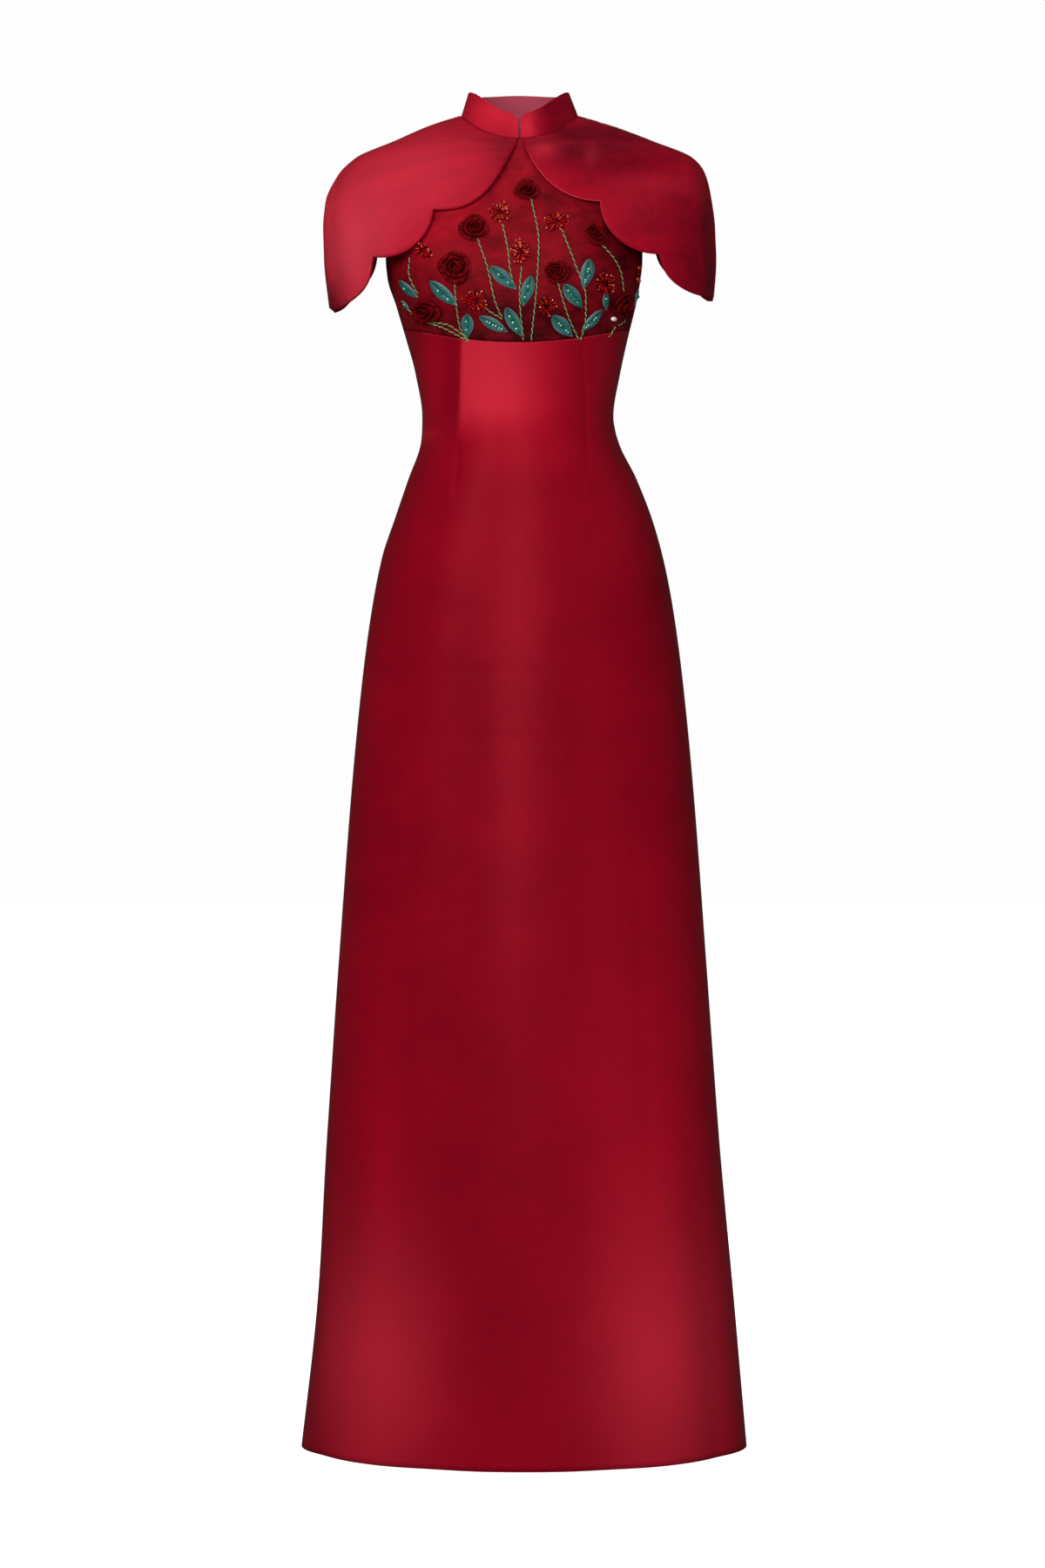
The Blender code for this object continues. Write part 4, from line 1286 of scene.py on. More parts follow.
pink_lining = matt_back("pink satin lining", "#A04254")
collar_grid = collar_points()
collar = cloth(
    "collar_band", collar_grid, [capelet_satin, pink_lining], COLLAR_WALL,
    collar_grid.shape[1] // 2, painted_light_from(collar_grid, COLLAR_PAINTED_LIGHT),
)
rounding = collar.modifiers.new("soft edges", "BEVEL")
rounding.width = COLLAR_SOFTNESS * MM
rounding.segments = 3
rounding.limit_method = "ANGLE"
worn(collar, ["collar"])

# Behind, a facing of the pink satin hangs from the collar's inside. Its sides are angles from
# the front.
FACING_SIDES = (112, 248)
FACING_CELLS = (60, 10)
FACING_CLEAR = 0.5
FACING_FLARE = 9.0
FACING_TOP = 4.0
FACING_DEPTH = 30.0


def facing_points():
    """The neck facing: it leaves the inside of the collar and falls, and stands off with the
    square of its way down."""
    columns, rows = FACING_CELLS
    turn = np.linspace(*FACING_SIDES, columns + 1)[None, :]
    down = np.linspace(1, 0, rows + 1)[:, None]
    inner = oval_point(NECK_SEAM, turn + 0 * down, COLLAR_WALL + FACING_CLEAR)
    away = np.stack((np.sin(np.radians(turn)), -np.cos(np.radians(turn)), 0 * turn), axis=-1)
    inner = inner + FACING_FLARE * (down ** 2)[..., None] * away
    inner[..., 2] += FACING_TOP - FACING_DEPTH * down
    return inner[:, ::-1]


facing = cloth("collar_facing", facing_points(), [pink_lining, pink_lining], ALLOWANCE_WALL,
               FACING_CELLS[0] // 2)
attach(facing, "root")


# The roses: narrow dark velvet ribbon, rolled round itself into a bud, its upper edge turned
# out, and caught down on the yoke. The inner turns stand highest.

RIBBON_WALL = 0.5
RIBBON_CLEAR = 0.6

# The last column is the length of ribbon in a rose
Rose = namedtuple("Rose", "x z width height ribbon")

ROSES = (
    Rose(5, -95, 24, 24, 103),
    Rose(-50, -135, 29, 28, 132),
    Rose(-70, -175, 35, 33, 166),
    Rose(75, -140, 24, 24, 102),
    Rose(35, -180, 26, 24, 108),
    Rose(-101, -219, 42, 24, 159),
    Rose(105, -212, 33, 28, 145),
)
ROSE_CELLS = (210, 16)

# How high the bud stands, how often the ribbon goes round, the share of its width that is
# tucked under, how much the whole is opened out, and how much further round each rose starts
# than the last, in radians
ROSE_RISE = 10.5
ROSE_TURNS = 3.0
ROSE_TUCK = 0.25
ROSE_FULL = 1.17
ROSE_START = 0.9

# Shares of a rose's half width: where the ribbon stands in the bud and how much further out at
# its end, how far the rim leans out in the same two places, how far the foot goes under, and
# how high the rim's long and short waves are
BUD_FOOT = 0.05
FOOT_GROWN = 0.64
BUD_LEAN = 0.04
LEAN_GROWN = 0.31
FOOT_UNDER = 0.72
RIM_WAVE = 0.06
RIM_RIPPLE = 0.03

# How many of the long and of the short waves go round in a turn
RIM_WAVES = 3.3
RIM_RIPPLES = 5.1

# Shares of its rise: how much lower the outer turns are, and how steeply the rim rolls over from
# this share of the way up
OUTER_LOWER = 0.56
ROLLED_OVER = 2.1
ROLLED_OVER_FROM = 0.72

# The last share of the ribbon is its cut end, drawn in and pressed down by these shares
CUT_END = 0.06
CUT_DRAWN_IN = 0.22
CUT_PRESSED = 0.7


def yoke_spot(x, z):
    """The point of the front yoke seen at (x, z)."""
    x, z = np.broadcast_arrays(np.asarray(x, float), np.asarray(z, float))
    return DRESS.point(DRESS.angle_at(x, z), z) - np.array((0, half_gap, 0))


def yoke_frame(x, z):
    """A point of the yoke with its directions along the cloth and off it."""
    step = 0.5
    right = yoke_spot(x + step, z) - yoke_spot(x - step, z)
    up = yoke_spot(x, z + step) - yoke_spot(x, z - step)
    off = np.cross(right, up)
    off /= np.linalg.norm(off, axis=-1, keepdims=True)
    right = np.cross(np.array((0, 0, 1.0)), -off)
    right /= np.linalg.norm(right, axis=-1, keepdims=True)
    return yoke_spot(x, z), right, np.cross(off, right), off


LAYING_STEPS = 4


def laid_on_yoke(x, z, across, along, lift):
    """Points offset along the cloth from (x, z), each brought to the yoke by stepping to where
    its remainder is square to the cloth, and then lifted along the normal in the middle."""
    place, right, up, off = yoke_frame(x, z)
    wanted = place + across[..., None] * right + along[..., None] * up
    spot = wanted
    for _ in range(LAYING_STEPS):
        found, _, _, normal = yoke_frame(spot[..., 0], spot[..., 2])
        short = wanted - found
        spot = found + short - normal * (short * normal).sum(axis=-1, keepdims=True)
    return yoke_spot(spot[..., 0], spot[..., 2]) + lift[..., None] * off


def velvet(name, deep, bright):
    """Velvet ribbon: its short pile takes in light, and shows paler where it is seen edge on."""
    material, tree, shader = surface(name, {
        "Roughness": 0.8,
        "Specular IOR Level": 0.04,
        "Sheen Weight": 0.03,
        "Sheen Roughness": 0.35,
        "Sheen Tint": colour(bright),
    })
    place = add(tree, "ShaderNodeTexCoord").outputs["Object"]
    pile = add(tree, "ShaderNodeTexNoise", {
        "Vector": place, "Scale": 260.0, "Detail": 5.0, "Roughness": 0.7})
    brushed = add(tree, "ShaderNodeMapRange", {
        "Value": pile.outputs["Fac"], "From Min": 0.35, "From Max": 0.65})
    mixed = add(tree, "ShaderNodeMix", {
        "Factor": brushed.outputs[0], 6: colour(deep), 7: colour(bright)}, data_type="RGBA")
    tree.links.new(mixed.outputs[2], shader.inputs["Base Color"])
    bump = add(tree, "ShaderNodeBump", {
        "Height": pile.outputs["Fac"], "Strength": 0.5, "Distance": 0.4 * MM})
    tree.links.new(bump.outputs[0], shader.inputs["Normal"])
    return material


def rolled_ribbon(rose, phase):
    """A ribbon wound into a rose: along it the angle grows and the radius with it, and across
    it the ribbon comes out from under the rose, stands up and then turns out. Its rim waves, as
    two sines of the angle. Powers below 1 bring a growth on early, and powers above 1 late."""
    along_steps, across_steps = ROSE_CELLS
    s = np.linspace(0, 1, along_steps + 1)[None, :]
    v = np.linspace(0, 1, across_steps + 1)[:, None]
    turn = phase + 2 * np.pi * ROSE_TURNS * s ** 0.85
    foot = BUD_FOOT + FOOT_GROWN * s ** 0.8
    waved = (
        RIM_WAVE * np.sin(RIM_WAVES * turn + phase) + RIM_RIPPLE * np.sin(RIM_RIPPLES * turn)
    )
    upper = np.clip((v - ROSE_TUCK) / (1 - ROSE_TUCK), 0, 1)
    tucked = 1 - v / ROSE_TUCK
    radius = foot + (BUD_LEAN + LEAN_GROWN * s + waved * s) * upper ** 2.6
    radius = ROSE_FULL * (radius - FOOT_UNDER * foot * np.clip(tucked, 0, 1))
    end = ease((s - (1 - CUT_END)) / CUT_END)
    radius = radius * (1 - CUT_DRAWN_IN * end)
    stand = (1 - OUTER_LOWER * s ** 1.4) * (1 + 0.8 * waved)
    turned_out = ROLLED_OVER * s * np.clip(upper - ROLLED_OVER_FROM, 0, 1) ** 1.3
    lift = ROSE_RISE * stand * (1.05 * upper - turned_out) * (1 - CUT_PRESSED * end)
    under = RIBBON_CLEAR + RIBBON_WALL * ROSE_TURNS * (1 - s) * (v < ROSE_TUCK)
    across = rose.width / 2 * radius * np.cos(turn)
    along = rose.height / 2 * radius * np.sin(turn)
    return laid_on_yoke(rose.x, rose.z, across, along, under + np.clip(lift, 0, None))


wine_velvet = velvet("velvet ribbon, dark wine", "#1E0002", "#7C060E")

for number, rose in enumerate(ROSES, 1):
    rose_grid = rolled_ribbon(rose, ROSE_START * number)
    bloom = make_mesh(
        f"rose_{number}_ribbon", rose_grid, grid_faces(rose_grid), [wine_velvet, wine_velvet]
    )
    pile = bloom.modifiers.new("pile", "SOLIDIFY")
    pile.thickness = RIBBON_WALL * MM
    pile.offset = 0
    worn(bloom, [f"rose_{number}"])


# The leaves: stiff teal satin cut to a point at both ends, a little padded, pressed along the
# midrib, and caught down under the beads that lie on it.

Leaf = namedtuple("Leaf", "x z turn length width beads")

LEAVES = (
    Leaf(-120.5, -194.5, -54, 34, 13.5, 1),
    Leaf(-83, -202, -45, 39, 16, 2),
    Leaf(-57.5, -235, 5, 25, 14, 2),
    Leaf(-30.5, -234.5, -61, 33, 12.5, 3),
    Leaf(-20.5, -187, -50, 36, 14.5, 2),
    Leaf(-9.5, -232, -28, 34, 14, 3),
    Leaf(5, -200.5, 16, 33, 13.5, 2),
    Leaf(67.5, -182, 11, 33, 15.5, 2),
    Leaf(53, -205.5, -42, 33, 14.5, 4),
    Leaf(41.5, -236, -49, 32, 15.5, 2),
    Leaf(73, -229, 41, 32, 13, 2),
    Leaf(120, -198, 10, 19, 9, 1),
    Leaf(87, -208.5, -22, 20, 9, 1),
    Leaf(-121.5, -211, -20, 11, 6.5, 1),
)
LEAF_CELLS = (44, 24)
LEAF_WALL = 0.9

# How high a leaf's upper side stands at its edge, how much higher its padding is, how far the
# edge waves and how deep the midrib is, and the midrib's width as a share of the leaf's
LEAF_CLEAR = 1.2
LEAF_PADDING = 1.54
LEAF_WAVE = 0.35
MIDRIB_DEPTH = 0.2
MIDRIB_WIDTH = 0.12

# The satin is deeper towards a leaf's foot, and paler at its rim and its tip: how much, and the
# shares of its length where the one ends and the other starts
FOOT_DEPTH = 0.75
FOOT_REACH = 0.55
RIM_PALENESS = 0.8
RIM_POWER = 7
TIP_FROM = 0.93

# How far a side vein leans from the midrib, in radians
VEIN_SLANT = 0.75


def leaf_satin(name, deep, bright):
    """Teal satin, heat-cut: fine threads run along the leaf, side veins are pressed into it,
    and the cut edge is a little paler. The map runs along the leaf and across it."""
    material, tree, shader = surface(name, {
        "Roughness": 0.5,
        "Specular IOR Level": 0.28,
    })
    place = add(tree, "ShaderNodeUVMap", uv_map="cut").outputs["UV"]
    parts = add(tree, "ShaderNodeSeparateXYZ", {0: place}).outputs
    side = add(tree, "ShaderNodeMath", {0: parts[1]}, operation="ABSOLUTE")
    folded = add(tree, "ShaderNodeCombineXYZ", {0: parts[0], 1: side.outputs[0]})
    slanted = add(tree, "ShaderNodeMapping", {
        "Vector": folded.outputs[0], "Rotation": (0, 0, VEIN_SLANT)})
    veins = add(tree, "ShaderNodeTexWave", {
        "Vector": slanted.outputs[0], "Scale": 90.0, "Distortion": 0.4})
    thread_place = add(tree, "ShaderNodeMapping", {
        "Vector": place, "Scale": (120, 1500, 1)})
    threads = add(tree, "ShaderNodeTexNoise", {
        "Vector": thread_place.outputs[0], "Scale": 1.0})
    height = add(tree, "ShaderNodeMath", {
        0: veins.outputs["Fac"], 1: 0.22, 2: threads.outputs["Fac"]}, operation="MULTIPLY_ADD")
    level = add(tree, "ShaderNodeMapRange", {
        "Value": height.outputs[0], "From Min": 0.15, "From Max": 1.0})
    mixed = add(tree, "ShaderNodeMix", {
        "Factor": level.outputs[0], 6: colour(deep), 7: colour(bright)}, data_type="RGBA")
    foot = add(tree, "ShaderNodeAttribute", attribute_name="foot").outputs["Fac"]
    deepened = add(tree, "ShaderNodeMix", {
        "Factor": foot, 6: mixed.outputs[2], 7: colour("#064236")}, data_type="RGBA")
    rim = add(tree, "ShaderNodeAttribute", attribute_name="rim").outputs["Fac"]
    rimmed = add(tree, "ShaderNodeMix", {
        "Factor": rim, 6: deepened.outputs[2], 7: colour("#7D9092")}, data_type="RGBA")
    tree.links.new(rimmed.outputs[2], shader.inputs["Base Color"])
    bump = add(tree, "ShaderNodeBump", {
        "Height": height.outputs[0], "Strength": 0.3, "Distance": 0.3 * MM})
    tree.links.new(bump.outputs[0], shader.inputs["Normal"])
    return material


def leaf_outline(share):
    """Half the width of a leaf at a share of its length: a sine, fuller towards the tip."""
    fullest, blunt = 0.85, 0.8
    return np.sin(np.pi * np.clip(share, 0.004, 0.996) ** fullest) ** blunt


def leaf_grid(leaf):
    """The upper side of a leaf: padded on each side of the midrib, lower at the midrib and at
    the edge, with a slow wave along the edge. Also each point's place on the flat leaf, and
    how near it is to the foot and to the rim."""
    steps, sides = LEAF_CELLS
    share = np.linspace(0, 1, steps + 1)[None, :]
    side = np.linspace(-1, 1, sides + 1)[:, None]
    along = leaf.length * (share - 0.5) + 0 * side
    across = side * leaf.width / 2 * leaf_outline(share)
    puff = np.sin(np.pi * abs(side)) ** 0.8 * leaf_outline(share)
    crease = np.exp(-(side / MIDRIB_WIDTH) ** 2)
    wave = LEAF_WAVE * np.sin(9 * share + leaf.x) * side ** 2
    lift = LEAF_CLEAR + LEAF_PADDING * puff - MIDRIB_DEPTH * crease + wave
    turn = math.radians(leaf.turn)
    right = along * math.sin(turn) + across * math.cos(turn)
    up = along * math.cos(turn) - across * math.sin(turn)
    points = laid_on_yoke(leaf.x, leaf.z, right, up, lift)
    at_edge = abs(side) ** RIM_POWER + 0 * share
    at_tip = ease((share - TIP_FROM) / (1 - TIP_FROM))
    looks = {
        "foot": FOOT_DEPTH * ease(1 - share / FOOT_REACH) + 0 * side,
        "rim": RIM_PALENESS * np.maximum(at_edge, at_tip),
    }
    return points, np.stack((along, across), axis=-1) * MM, looks


teal_satin = leaf_satin("teal satin, heat-cut", "#0A3735", "#34757A")

for number, leaf in enumerate(LEAVES, 1):
    grid, flat_leaf, looks = leaf_grid(leaf)
    blade = make_mesh(
        f"leaf_{number}_satin", grid, grid_faces(grid)[:, ::-1], [teal_satin, teal_satin],
        flat_leaf, looks,
    )
    cloth_wall(blade, LEAF_WALL)
    worn(blade, [f"leaf_{number}"])


# The beadwork: stems are two strands of seed beads twisted together and caught down, flowers
# are sprays of bugle and seed beads, and cut glass beads lie along the leaves' midribs.

Stem = namedtuple("Stem", "name route")

# Each stem runs from its flower down to the under-bust seam, as points (x, z) on the yoke
STEMS = (
    Stem("rose_1", ((9, -102), (17, -150), (15, -192), (9, -251))),
    Stem("rose_2", ((-47, -146), (-36, -179), (-29, -210), (-21, -229))),
    Stem("rose_3", ((-71, -192), (-69, -215), (-65, -238), (-56, -251))),
    Stem("rose_4", ((80, -148), (95, -164), (103, -178), (106, -196))),
    Stem("rose_5", ((37, -192), (47, -224), (59, -250))),
    Stem("rose_6", ((-127, -204), (-111, -224), (-82, -237), (-56, -252))),
    Stem("rose_6_upper", ((-104, -229), (-80, -233), (-67, -241), (-57, -250))),
    Stem("flower_1", ((-21, -130), (-15, -160), (-13, -178), (-9, -196))),
    Stem("flower_2", ((41, -136), (55, -173), (66, -206), (66, -226), (61, -249))),
    Stem("flower_3", ((-1, -176), (-3, -201), (-2, -224), (1, -251))),
    Stem("flower_4", ((-118, -163), (-119, -178), (-115, -190), (-109, -201))),
    Stem("flower_5", ((-40, -217), (-30, -224), (-21, -229))),
    Stem("side_1", ((97, -233), (94, -239), (90, -245))),
    Stem("side_2", ((111, -221), (107, -226), (101, -231))),
)
SEED_LENGTH = 1.7
SEED_RADIUS = 0.52
TWIST_PITCH = 6.8
TWIST_RADIUS = 0.43
STEM_CLEAR = 0.1

Spray = namedtuple("Spray", "x z width height turn rays")

SPRAYS = (
    Spray(-24, -117, 25, 25, 0, 19),
    Spray(35, -127, 28, 27, 0, 20),
    Spray(-2, -160, 22, 33, 0, 24),
    Spray(-105, -156, 36, 15, -32, 17),
    Spray(-48, -211, 31, 27, 0, 18),
    Spray(25, -216, 25, 22, 0, 16),
    Spray(86, -191, 28, 26, 0, 18),
    Spray(121, -176, 17, 25, 0, 11),
)

# How far a ray strays from its even place, in radians, its least length as a share of the most,
# the share of its length where it starts, and how far its two ends stand off the yoke
RAY_STRAY = 0.14
RAY_SHORTEST = 0.55
RAY_FOOT = 0.28
RAY_FOOT_LIFT = 1.2
RAY_LIFT = 1.0
RAY_LEAN = (0.8, 3.4)

# A ray's bugle bead: its radius, and as shares of the ray half its length and its middle's place
BUGLE_RADIUS = 0.65
BUGLE_HALF = 0.40
BUGLE_MIDDLE = 0.45
END_BEAD = (1.05, 1.05, 0.9)

# The dark beads in the middle, which also stand in for painted shade between the rays: how far out
# they go, and how far they heap up
CORE_REACH = 0.8
CORE_LIFT = 0.7
CORE_HEAP = 2.2
CORE_BEAD = (0.95, 0.95, 0.9)

# How often a ray is red, amber or rose, and how often its end bead is
RAY_COLOURS = (0.76, 0.2, 0.04)
END_COLOURS = (0.42, 0.26, 0.32)
SPRAY_DRAWS = 40


def turned_bead(sides, rings, squareness):
    """A bead as a unit barrel along its third axis, with closed ends: its radius is a power of
    the sine of an angle from end to end."""
    lat = np.linspace(0, np.pi, rings + 1)[1:-1]
    radius = np.sin(lat) ** squareness
    turn = np.linspace(0, 2 * np.pi, sides + 1)[:-1]
    ring = np.stack((
        np.outer(radius, np.cos(turn)), np.outer(radius, np.sin(turn)),
        np.outer(-np.cos(lat), np.ones(sides)),
    ), axis=-1).reshape(-1, 3)
    points = np.concatenate((ring, [(0, 0, -1), (0, 0, 1)]))
    low, high = len(ring), len(ring) + 1
    here, after = np.arange(sides), (np.arange(sides) + 1) % sides
    last = (rings - 2) * sides
    faces = [(low, a, h) for h, a in zip(here, after)]
    faces += [(last + h, last + a, high) for h, a in zip(here, after)]
    for step in range(rings - 2):
        base = step * sides
        faces += [(base + h, base + a, base + sides + a, base + sides + h)
                  for h, a in zip(here, after)]
    return points, faces


def many(template, places, axes, sizes, kind=0):
    """One copy of a template at each place, its axes turned and scaled: whole arrays. The kind
    is the number of the beads' material in their piece."""
    points, faces = template
    shaped = points[None] * sizes[:, None, :]
    spread = places[:, None] + np.einsum("nij,npi->npj", axes, shaped)
    copied = [
        tuple(corner + copy * len(points) for corner in face)
        for copy in range(len(places)) for face in faces
    ]
    return spread.reshape(-1, 3), copied, kind


def square_axes(direction, normal):
    """Three square directions for each bead: two across it and one along it."""
    along = direction / np.linalg.norm(direction, axis=-1, keepdims=True)
    side = np.cross(along, normal)
    side /= np.linalg.norm(side, axis=-1, keepdims=True)
    return np.stack((side, np.cross(along, side), along), axis=-2)


ROUTE_POINTS = 200


def along_route(route, step):
    """Places an even step apart on a smooth curve through a stem's points."""
    route = np.array(route, float)
    knots = np.concatenate(([0], np.cumsum(np.linalg.norm(np.diff(route, axis=0), axis=1))))
    fine = np.linspace(0, knots[-1], ROUTE_POINTS)
    x, z = (smooth_through(knots, column, fine) for column in route.T)
    points = yoke_spot(x, z)
    length = np.concatenate(([0], np.cumsum(np.linalg.norm(np.diff(points, axis=0), axis=1))))
    at = np.arange(step / 2, length[-1], step)
    return np.interp(at, length, x), np.interp(at, length, z), at


def glass(name, hue, roughness=0.12, gloss=0.6, gleam="#FFFFFF"):
    """Cut or moulded glass: strongly coloured, smooth, and bright where a facet meets a light."""
    material, _, _ = surface(name, {
        "Base Color": colour(hue),
        "Roughness": roughness,
        "IOR": 1.6,
        "Specular IOR Level": gloss,
        "Specular Tint": colour(gleam),
    })
    return material


pale_green_glass = glass("seed beads, pale green lustre", "#9DB877", 0.25)
leaf_green_glass = glass("seed beads, leaf green", "#134A28", 0.2, 0.4)
emerald_glass = glass("cut glass, emerald", "#08693F", 0.06)
# Small pale mint beads beside the cut beads: their pale colour is also a painted glint on the cut
# glass
mint_and_glint_glass = glass("cut glass, mint", "#9ADFC0", 0.06, 0.8)
# Near-black seed beads in the middle of each spray: beads, and also painted shade between the rays
garnet_and_shade_glass = glass("seed beads, garnet", "#200102", 0.25, 0.12, "#FF6A60")
red_glass = glass("bugle beads, red", "#A0080F", 0.2, 0.35, "#FF8A80")
amber_glass = glass("bugle beads, amber", "#B0341A", 0.15, 0.35, "#FFB090")
rose_glass = glass("seed beads, clear rose", "#E26A58", 0.08, 0.6, "#FFD0C8")

seed_bead = turned_bead(8, 5, 0.55)
bugle_bead = turned_bead(6, 4, 0.25)
cut_bead = turned_bead(8, 6, 0.9)


def beadwork(name, batches, materials, smooth):
    """Joins batches of beads into one piece. Each batch has its points, its faces and the
    number of its material."""
    points, faces, kinds = [], [], []
    start = 0
    for batch_points, batch_faces, kind in batches:
        points.append(batch_points)
        faces += [tuple(corner + start for corner in face) for face in batch_faces]
        kinds += [kind] * len(batch_faces)
        start += len(batch_points)
    piece = make_mesh(name, np.concatenate(points), faces, materials, smooth=smooth)
    piece.data.polygons.foreach_set("material_index", kinds)
    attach(piece, "root")


def stem_strand(route, phase, kind):
    """One strand of a stem's twist: beads end to end on a helix about the route."""
    x, z, at = along_route(route, SEED_LENGTH)
    place, _, _, off = yoke_frame(x, z)
    ahead = np.gradient(place, axis=0)
    ahead /= np.linalg.norm(ahead, axis=1, keepdims=True)
    side = np.cross(ahead, off)
    turn = 2 * np.pi * at / TWIST_PITCH + phase
    rise = SEED_RADIUS + TWIST_RADIUS + STEM_CLEAR
    offset = (
        side * (TWIST_RADIUS * np.cos(turn))[:, None]
        + off * (rise + TWIST_RADIUS * np.sin(turn))[:, None]
    )
    centres = place + offset
    axes = square_axes(np.gradient(centres, axis=0), off)
    sizes = np.tile((SEED_RADIUS, SEED_RADIUS, SEED_LENGTH * 0.5), (len(centres), 1))
    return many(seed_bead, centres, axes, sizes, kind)


for stem in STEMS:
    beadwork(
        f"stem_{stem.name}",
        [stem_strand(stem.route, 0.0, 0), stem_strand(stem.route, np.pi, 1)],
        [pale_green_glass, leaf_green_glass], True,
    )


def in_spray(spray, reach, turn):
    """Offsets at a share and an angle of the spray's oval, which is turned by its own angle."""
    tilt = math.radians(spray.turn)
    wide = spray.width / 2 * reach * np.cos(turn)
    tall = spray.height / 2 * reach * np.sin(turn)
    across = wide * math.cos(tilt) - tall * math.sin(tilt)
    return across, wide * math.sin(tilt) + tall * math.cos(tilt)


def spray_batches(spray, seed):
    """A spray of beads: each ray is a bugle bead leaning out from the middle and a seed bead at
    its end. Lengths and leans vary a little. Dark seed beads lie under them, as beads and also as
    painted shade between the rays, each turned by the golden angle from the last and as far out as
    the root of its number."""
    dice = np.random.default_rng(seed)
    count = spray.rays
    turn = np.linspace(0, 2 * np.pi, count + 1)[:-1]
    turn = turn + dice.uniform(-RAY_STRAY, RAY_STRAY, count)
    across, along = in_spray(spray, dice.uniform(RAY_SHORTEST, 1.0, count), turn)
    lean = dice.uniform(*RAY_LEAN, count)
    inner = laid_on_yoke(spray.x, spray.z, RAY_FOOT * across, RAY_FOOT * along,
                         RAY_FOOT_LIFT + 0 * lean)
    tips = laid_on_yoke(spray.x, spray.z, across, along, RAY_LIFT + lean)
    _, _, _, off = yoke_frame(spray.x, spray.z)
    axes = square_axes(tips - inner, np.broadcast_to(off, tips.shape))
    lengths = np.linalg.norm(tips - inner, axis=1)
    radii = 0 * lengths + BUGLE_RADIUS
    bugle_sizes = np.stack((radii, radii, lengths * BUGLE_HALF), axis=-1)
    bugles = inner * (1 - BUGLE_MIDDLE) + tips * BUGLE_MIDDLE
    end_sizes = np.tile(END_BEAD, (count, 1))

    golden = math.pi * (3 - math.sqrt(5))
    order = np.arange(2 * count)
    spread = np.sqrt(order / len(order)) * CORE_REACH
    heap = CORE_LIFT + CORE_HEAP * (1 - spread) ** 2
    core = laid_on_yoke(spray.x, spray.z, *in_spray(spray, spread, golden * order), heap)
    core_axes = np.broadcast_to(axes[:1], (len(order), 3, 3))
    core_sizes = np.tile(CORE_BEAD, (len(order), 1))

    kind = dice.choice(len(RAY_COLOURS), count, p=RAY_COLOURS)
    end_kind = dice.choice(len(END_COLOURS), count, p=END_COLOURS)
    batches = [many(seed_bead, core, core_axes, core_sizes, len(RAY_COLOURS))]
    for choice in range(len(RAY_COLOURS)):
        picked = kind == choice
        batches.append(many(bugle_bead, bugles[picked], axes[picked], bugle_sizes[picked], choice))
        picked = end_kind == choice
        batches.append(many(seed_bead, tips[picked], axes[picked], end_sizes[picked], choice))
    return batches


for number, spray in enumerate(SPRAYS, 1):
    beadwork(f"spray_{number}", spray_batches(spray, SPRAY_DRAWS + number),
             [red_glass, amber_glass, rose_glass, garnet_and_shade_glass], False)


# Where the cut beads lie, as shares of the leaf's length, for each number of them
LEAF_BEAD_SHARES = {
    1: (0.5,),
    2: (0.55, 0.2),
    3: (0.6, 0.38, 0.17),
    4: (0.66, 0.5, 0.34, 0.16),
}
CUT_BEAD = (1.9, 1.6, 2.1)
CUT_BEAD_LIFT = 3.0
MINT_BEAD = (1.05, 1.0, 1.05)
MINT_BEAD_LIFT = 2.7
MINT_BEAD_AFTER = 3.1
MINT_BEAD_BESIDE = 0.8


def leaf_beads(leaf):
    """Cut beads along a leaf's midrib, with a small mint bead beside each, whose pale colour is
    also a painted glint on the cut bead.
    """
    along = leaf.length * (np.array(LEAF_BEAD_SHARES[leaf.beads]) - 0.5)
    turn = math.radians(leaf.turn + 180)
    big = laid_on_yoke(leaf.x, leaf.z, along * math.sin(turn), along * math.cos(turn),
                       0 * along + CUT_BEAD_LIFT)
    after = along + MINT_BEAD_AFTER
    small = laid_on_yoke(leaf.x, leaf.z, after * math.sin(turn) + MINT_BEAD_BESIDE,
                         after * math.cos(turn), 0 * along + MINT_BEAD_LIFT)
    _, right, _, off = yoke_frame(leaf.x, leaf.z)
    count = (len(along), 1)
    axes = square_axes(np.tile(right, count), np.tile(off, count))
    return (
        many(cut_bead, big, axes, np.tile(CUT_BEAD, count)),
        many(cut_bead, small, axes, np.tile(MINT_BEAD, count), 1),
    )


for number, leaf in enumerate(LEAVES, 1):
    beadwork(f"leaf_{number}_beads", leaf_beads(leaf), [emerald_glass, mint_and_glint_glass], False)


# One larger drop of clear glass hangs by the rose on the right.
DROP_X = 94
DROP_Z = -225
DROP_LIFT = 3.2
DROP_SIZE = (2.6, 2.2, 4.2)

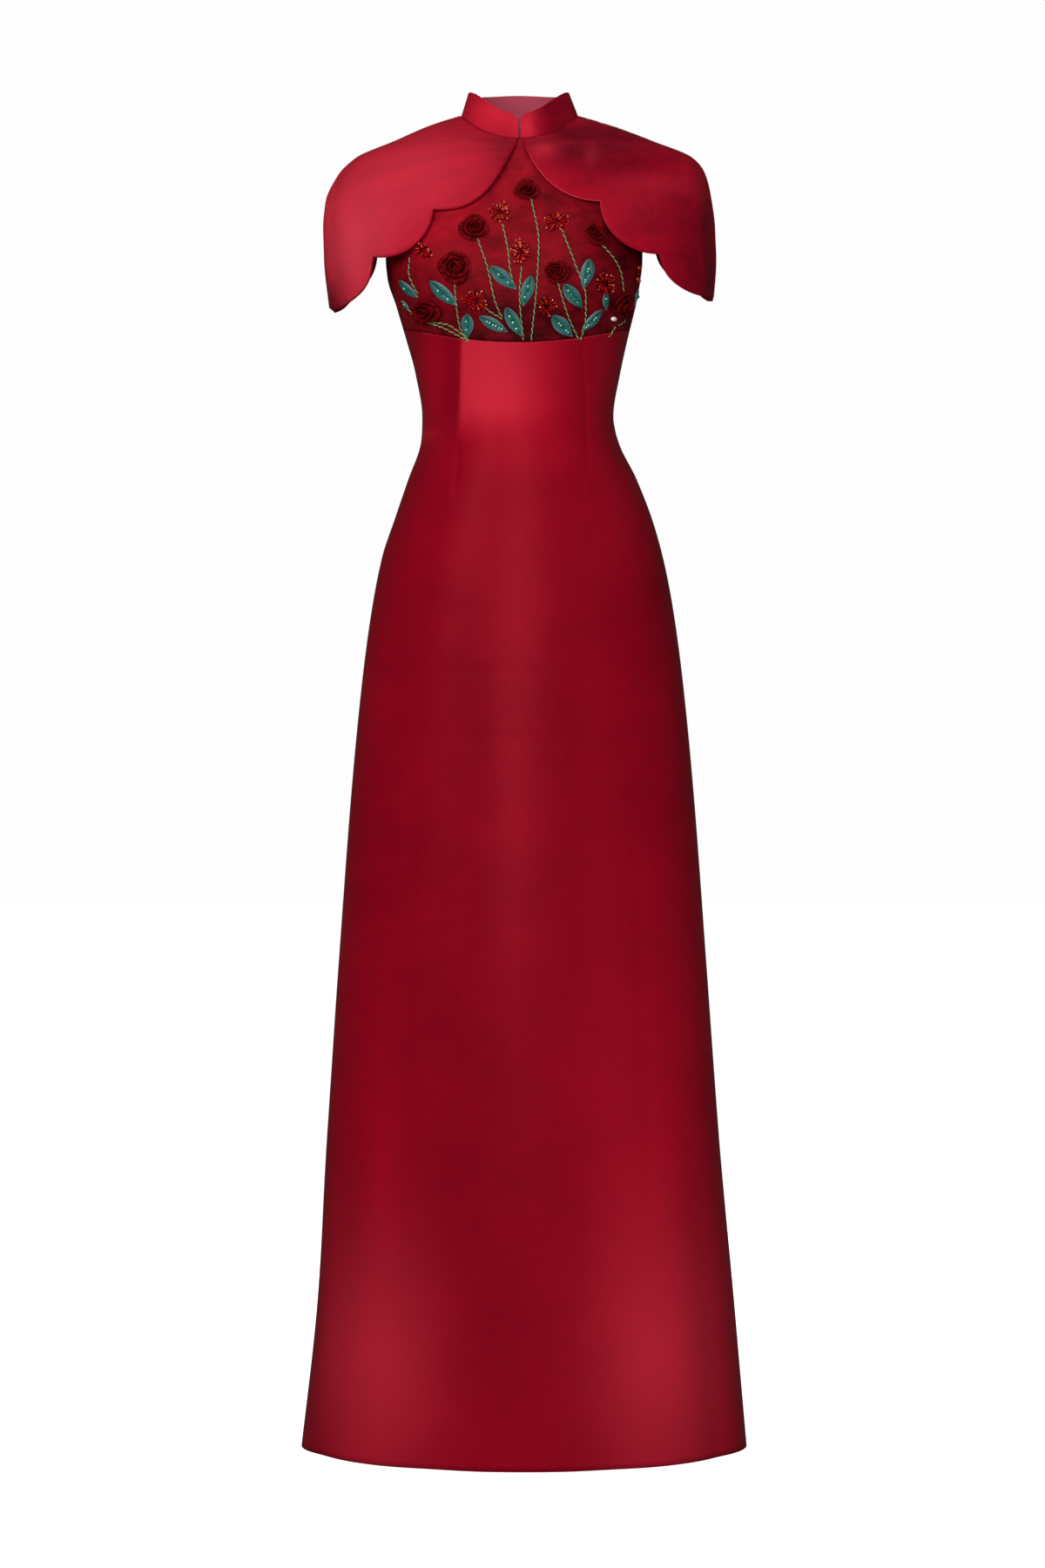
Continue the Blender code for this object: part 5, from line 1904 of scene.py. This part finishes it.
clear_glass = glass("cut glass, clear", "#F2E8E6", 0.08, 0.9)
drop_place = laid_on_yoke(DROP_X, DROP_Z, np.zeros(1), np.zeros(1), np.full(1, DROP_LIFT))
_, drop_right, _, drop_off = yoke_frame(DROP_X, DROP_Z)
drop_axes = square_axes(drop_right[None], drop_off[None])
drop = many(cut_bead, drop_place, drop_axes, np.array((DROP_SIZE,)))
beadwork("drop_bead", [drop], [clear_glass], False)


# The sewing: the yoke is whipped to the panel along the under-bust seam with short upright
# stitches of red silk thread, uneven as hand stitches are.

STITCH_APART = 2.6
STITCH_RADIUS = 0.22
STITCH_CLEAR = 0.25

# The x of the first and last stitch, and the height at which they are taken round the body
STITCHES_FROM = -104
STITCHES_TO = 96
STITCHES_LEVEL = -245.0

# How far a stitch strays along the seam, how far its middle is below the seam, half its length,
# and how far it leans to a side, as a share of its length
STITCH_STRAY = 0.5
STITCH_DROP = (0.6, 1.6)
STITCH_HALF = (0.6, 1.25)
STITCH_LEAN = 0.2
STITCH_DRAWS = 7

# Spun silk thread, dyed red: it has a soft gleam along its twist
thread_silk, _, _ = surface("silk thread, red", {
    "Base Color": colour("#C3263A"),
    "Roughness": 0.45,
    "Sheen Weight": 0.2,
})


def seam_stitches():
    """Short beads of thread across the seam: place, lean and length vary by a seeded draw."""
    dice = np.random.default_rng(STITCH_DRAWS)
    x = np.arange(STITCHES_FROM, STITCHES_TO, STITCH_APART)
    x = x + dice.uniform(-STITCH_STRAY, STITCH_STRAY, len(x))
    seam = bust_seam(DRESS.angle_at(x, STITCHES_LEVEL))
    z = seam - dice.uniform(*STITCH_DROP, len(x))
    place, right, up, off = yoke_frame(x, z)
    length = dice.uniform(*STITCH_HALF, len(x))
    lean = right * dice.uniform(-STITCH_LEAN, STITCH_LEAN, len(x))[:, None] + up
    axes = square_axes(lean, off)
    radii = 0 * x + STITCH_RADIUS
    sizes = np.stack((radii, radii, length), axis=-1)
    return many(turned_bead(6, 5, 0.5), place + off * STITCH_CLEAR, axes, sizes)


beadwork("bust_seam_stitches", [seam_stitches()], [thread_silk], True)
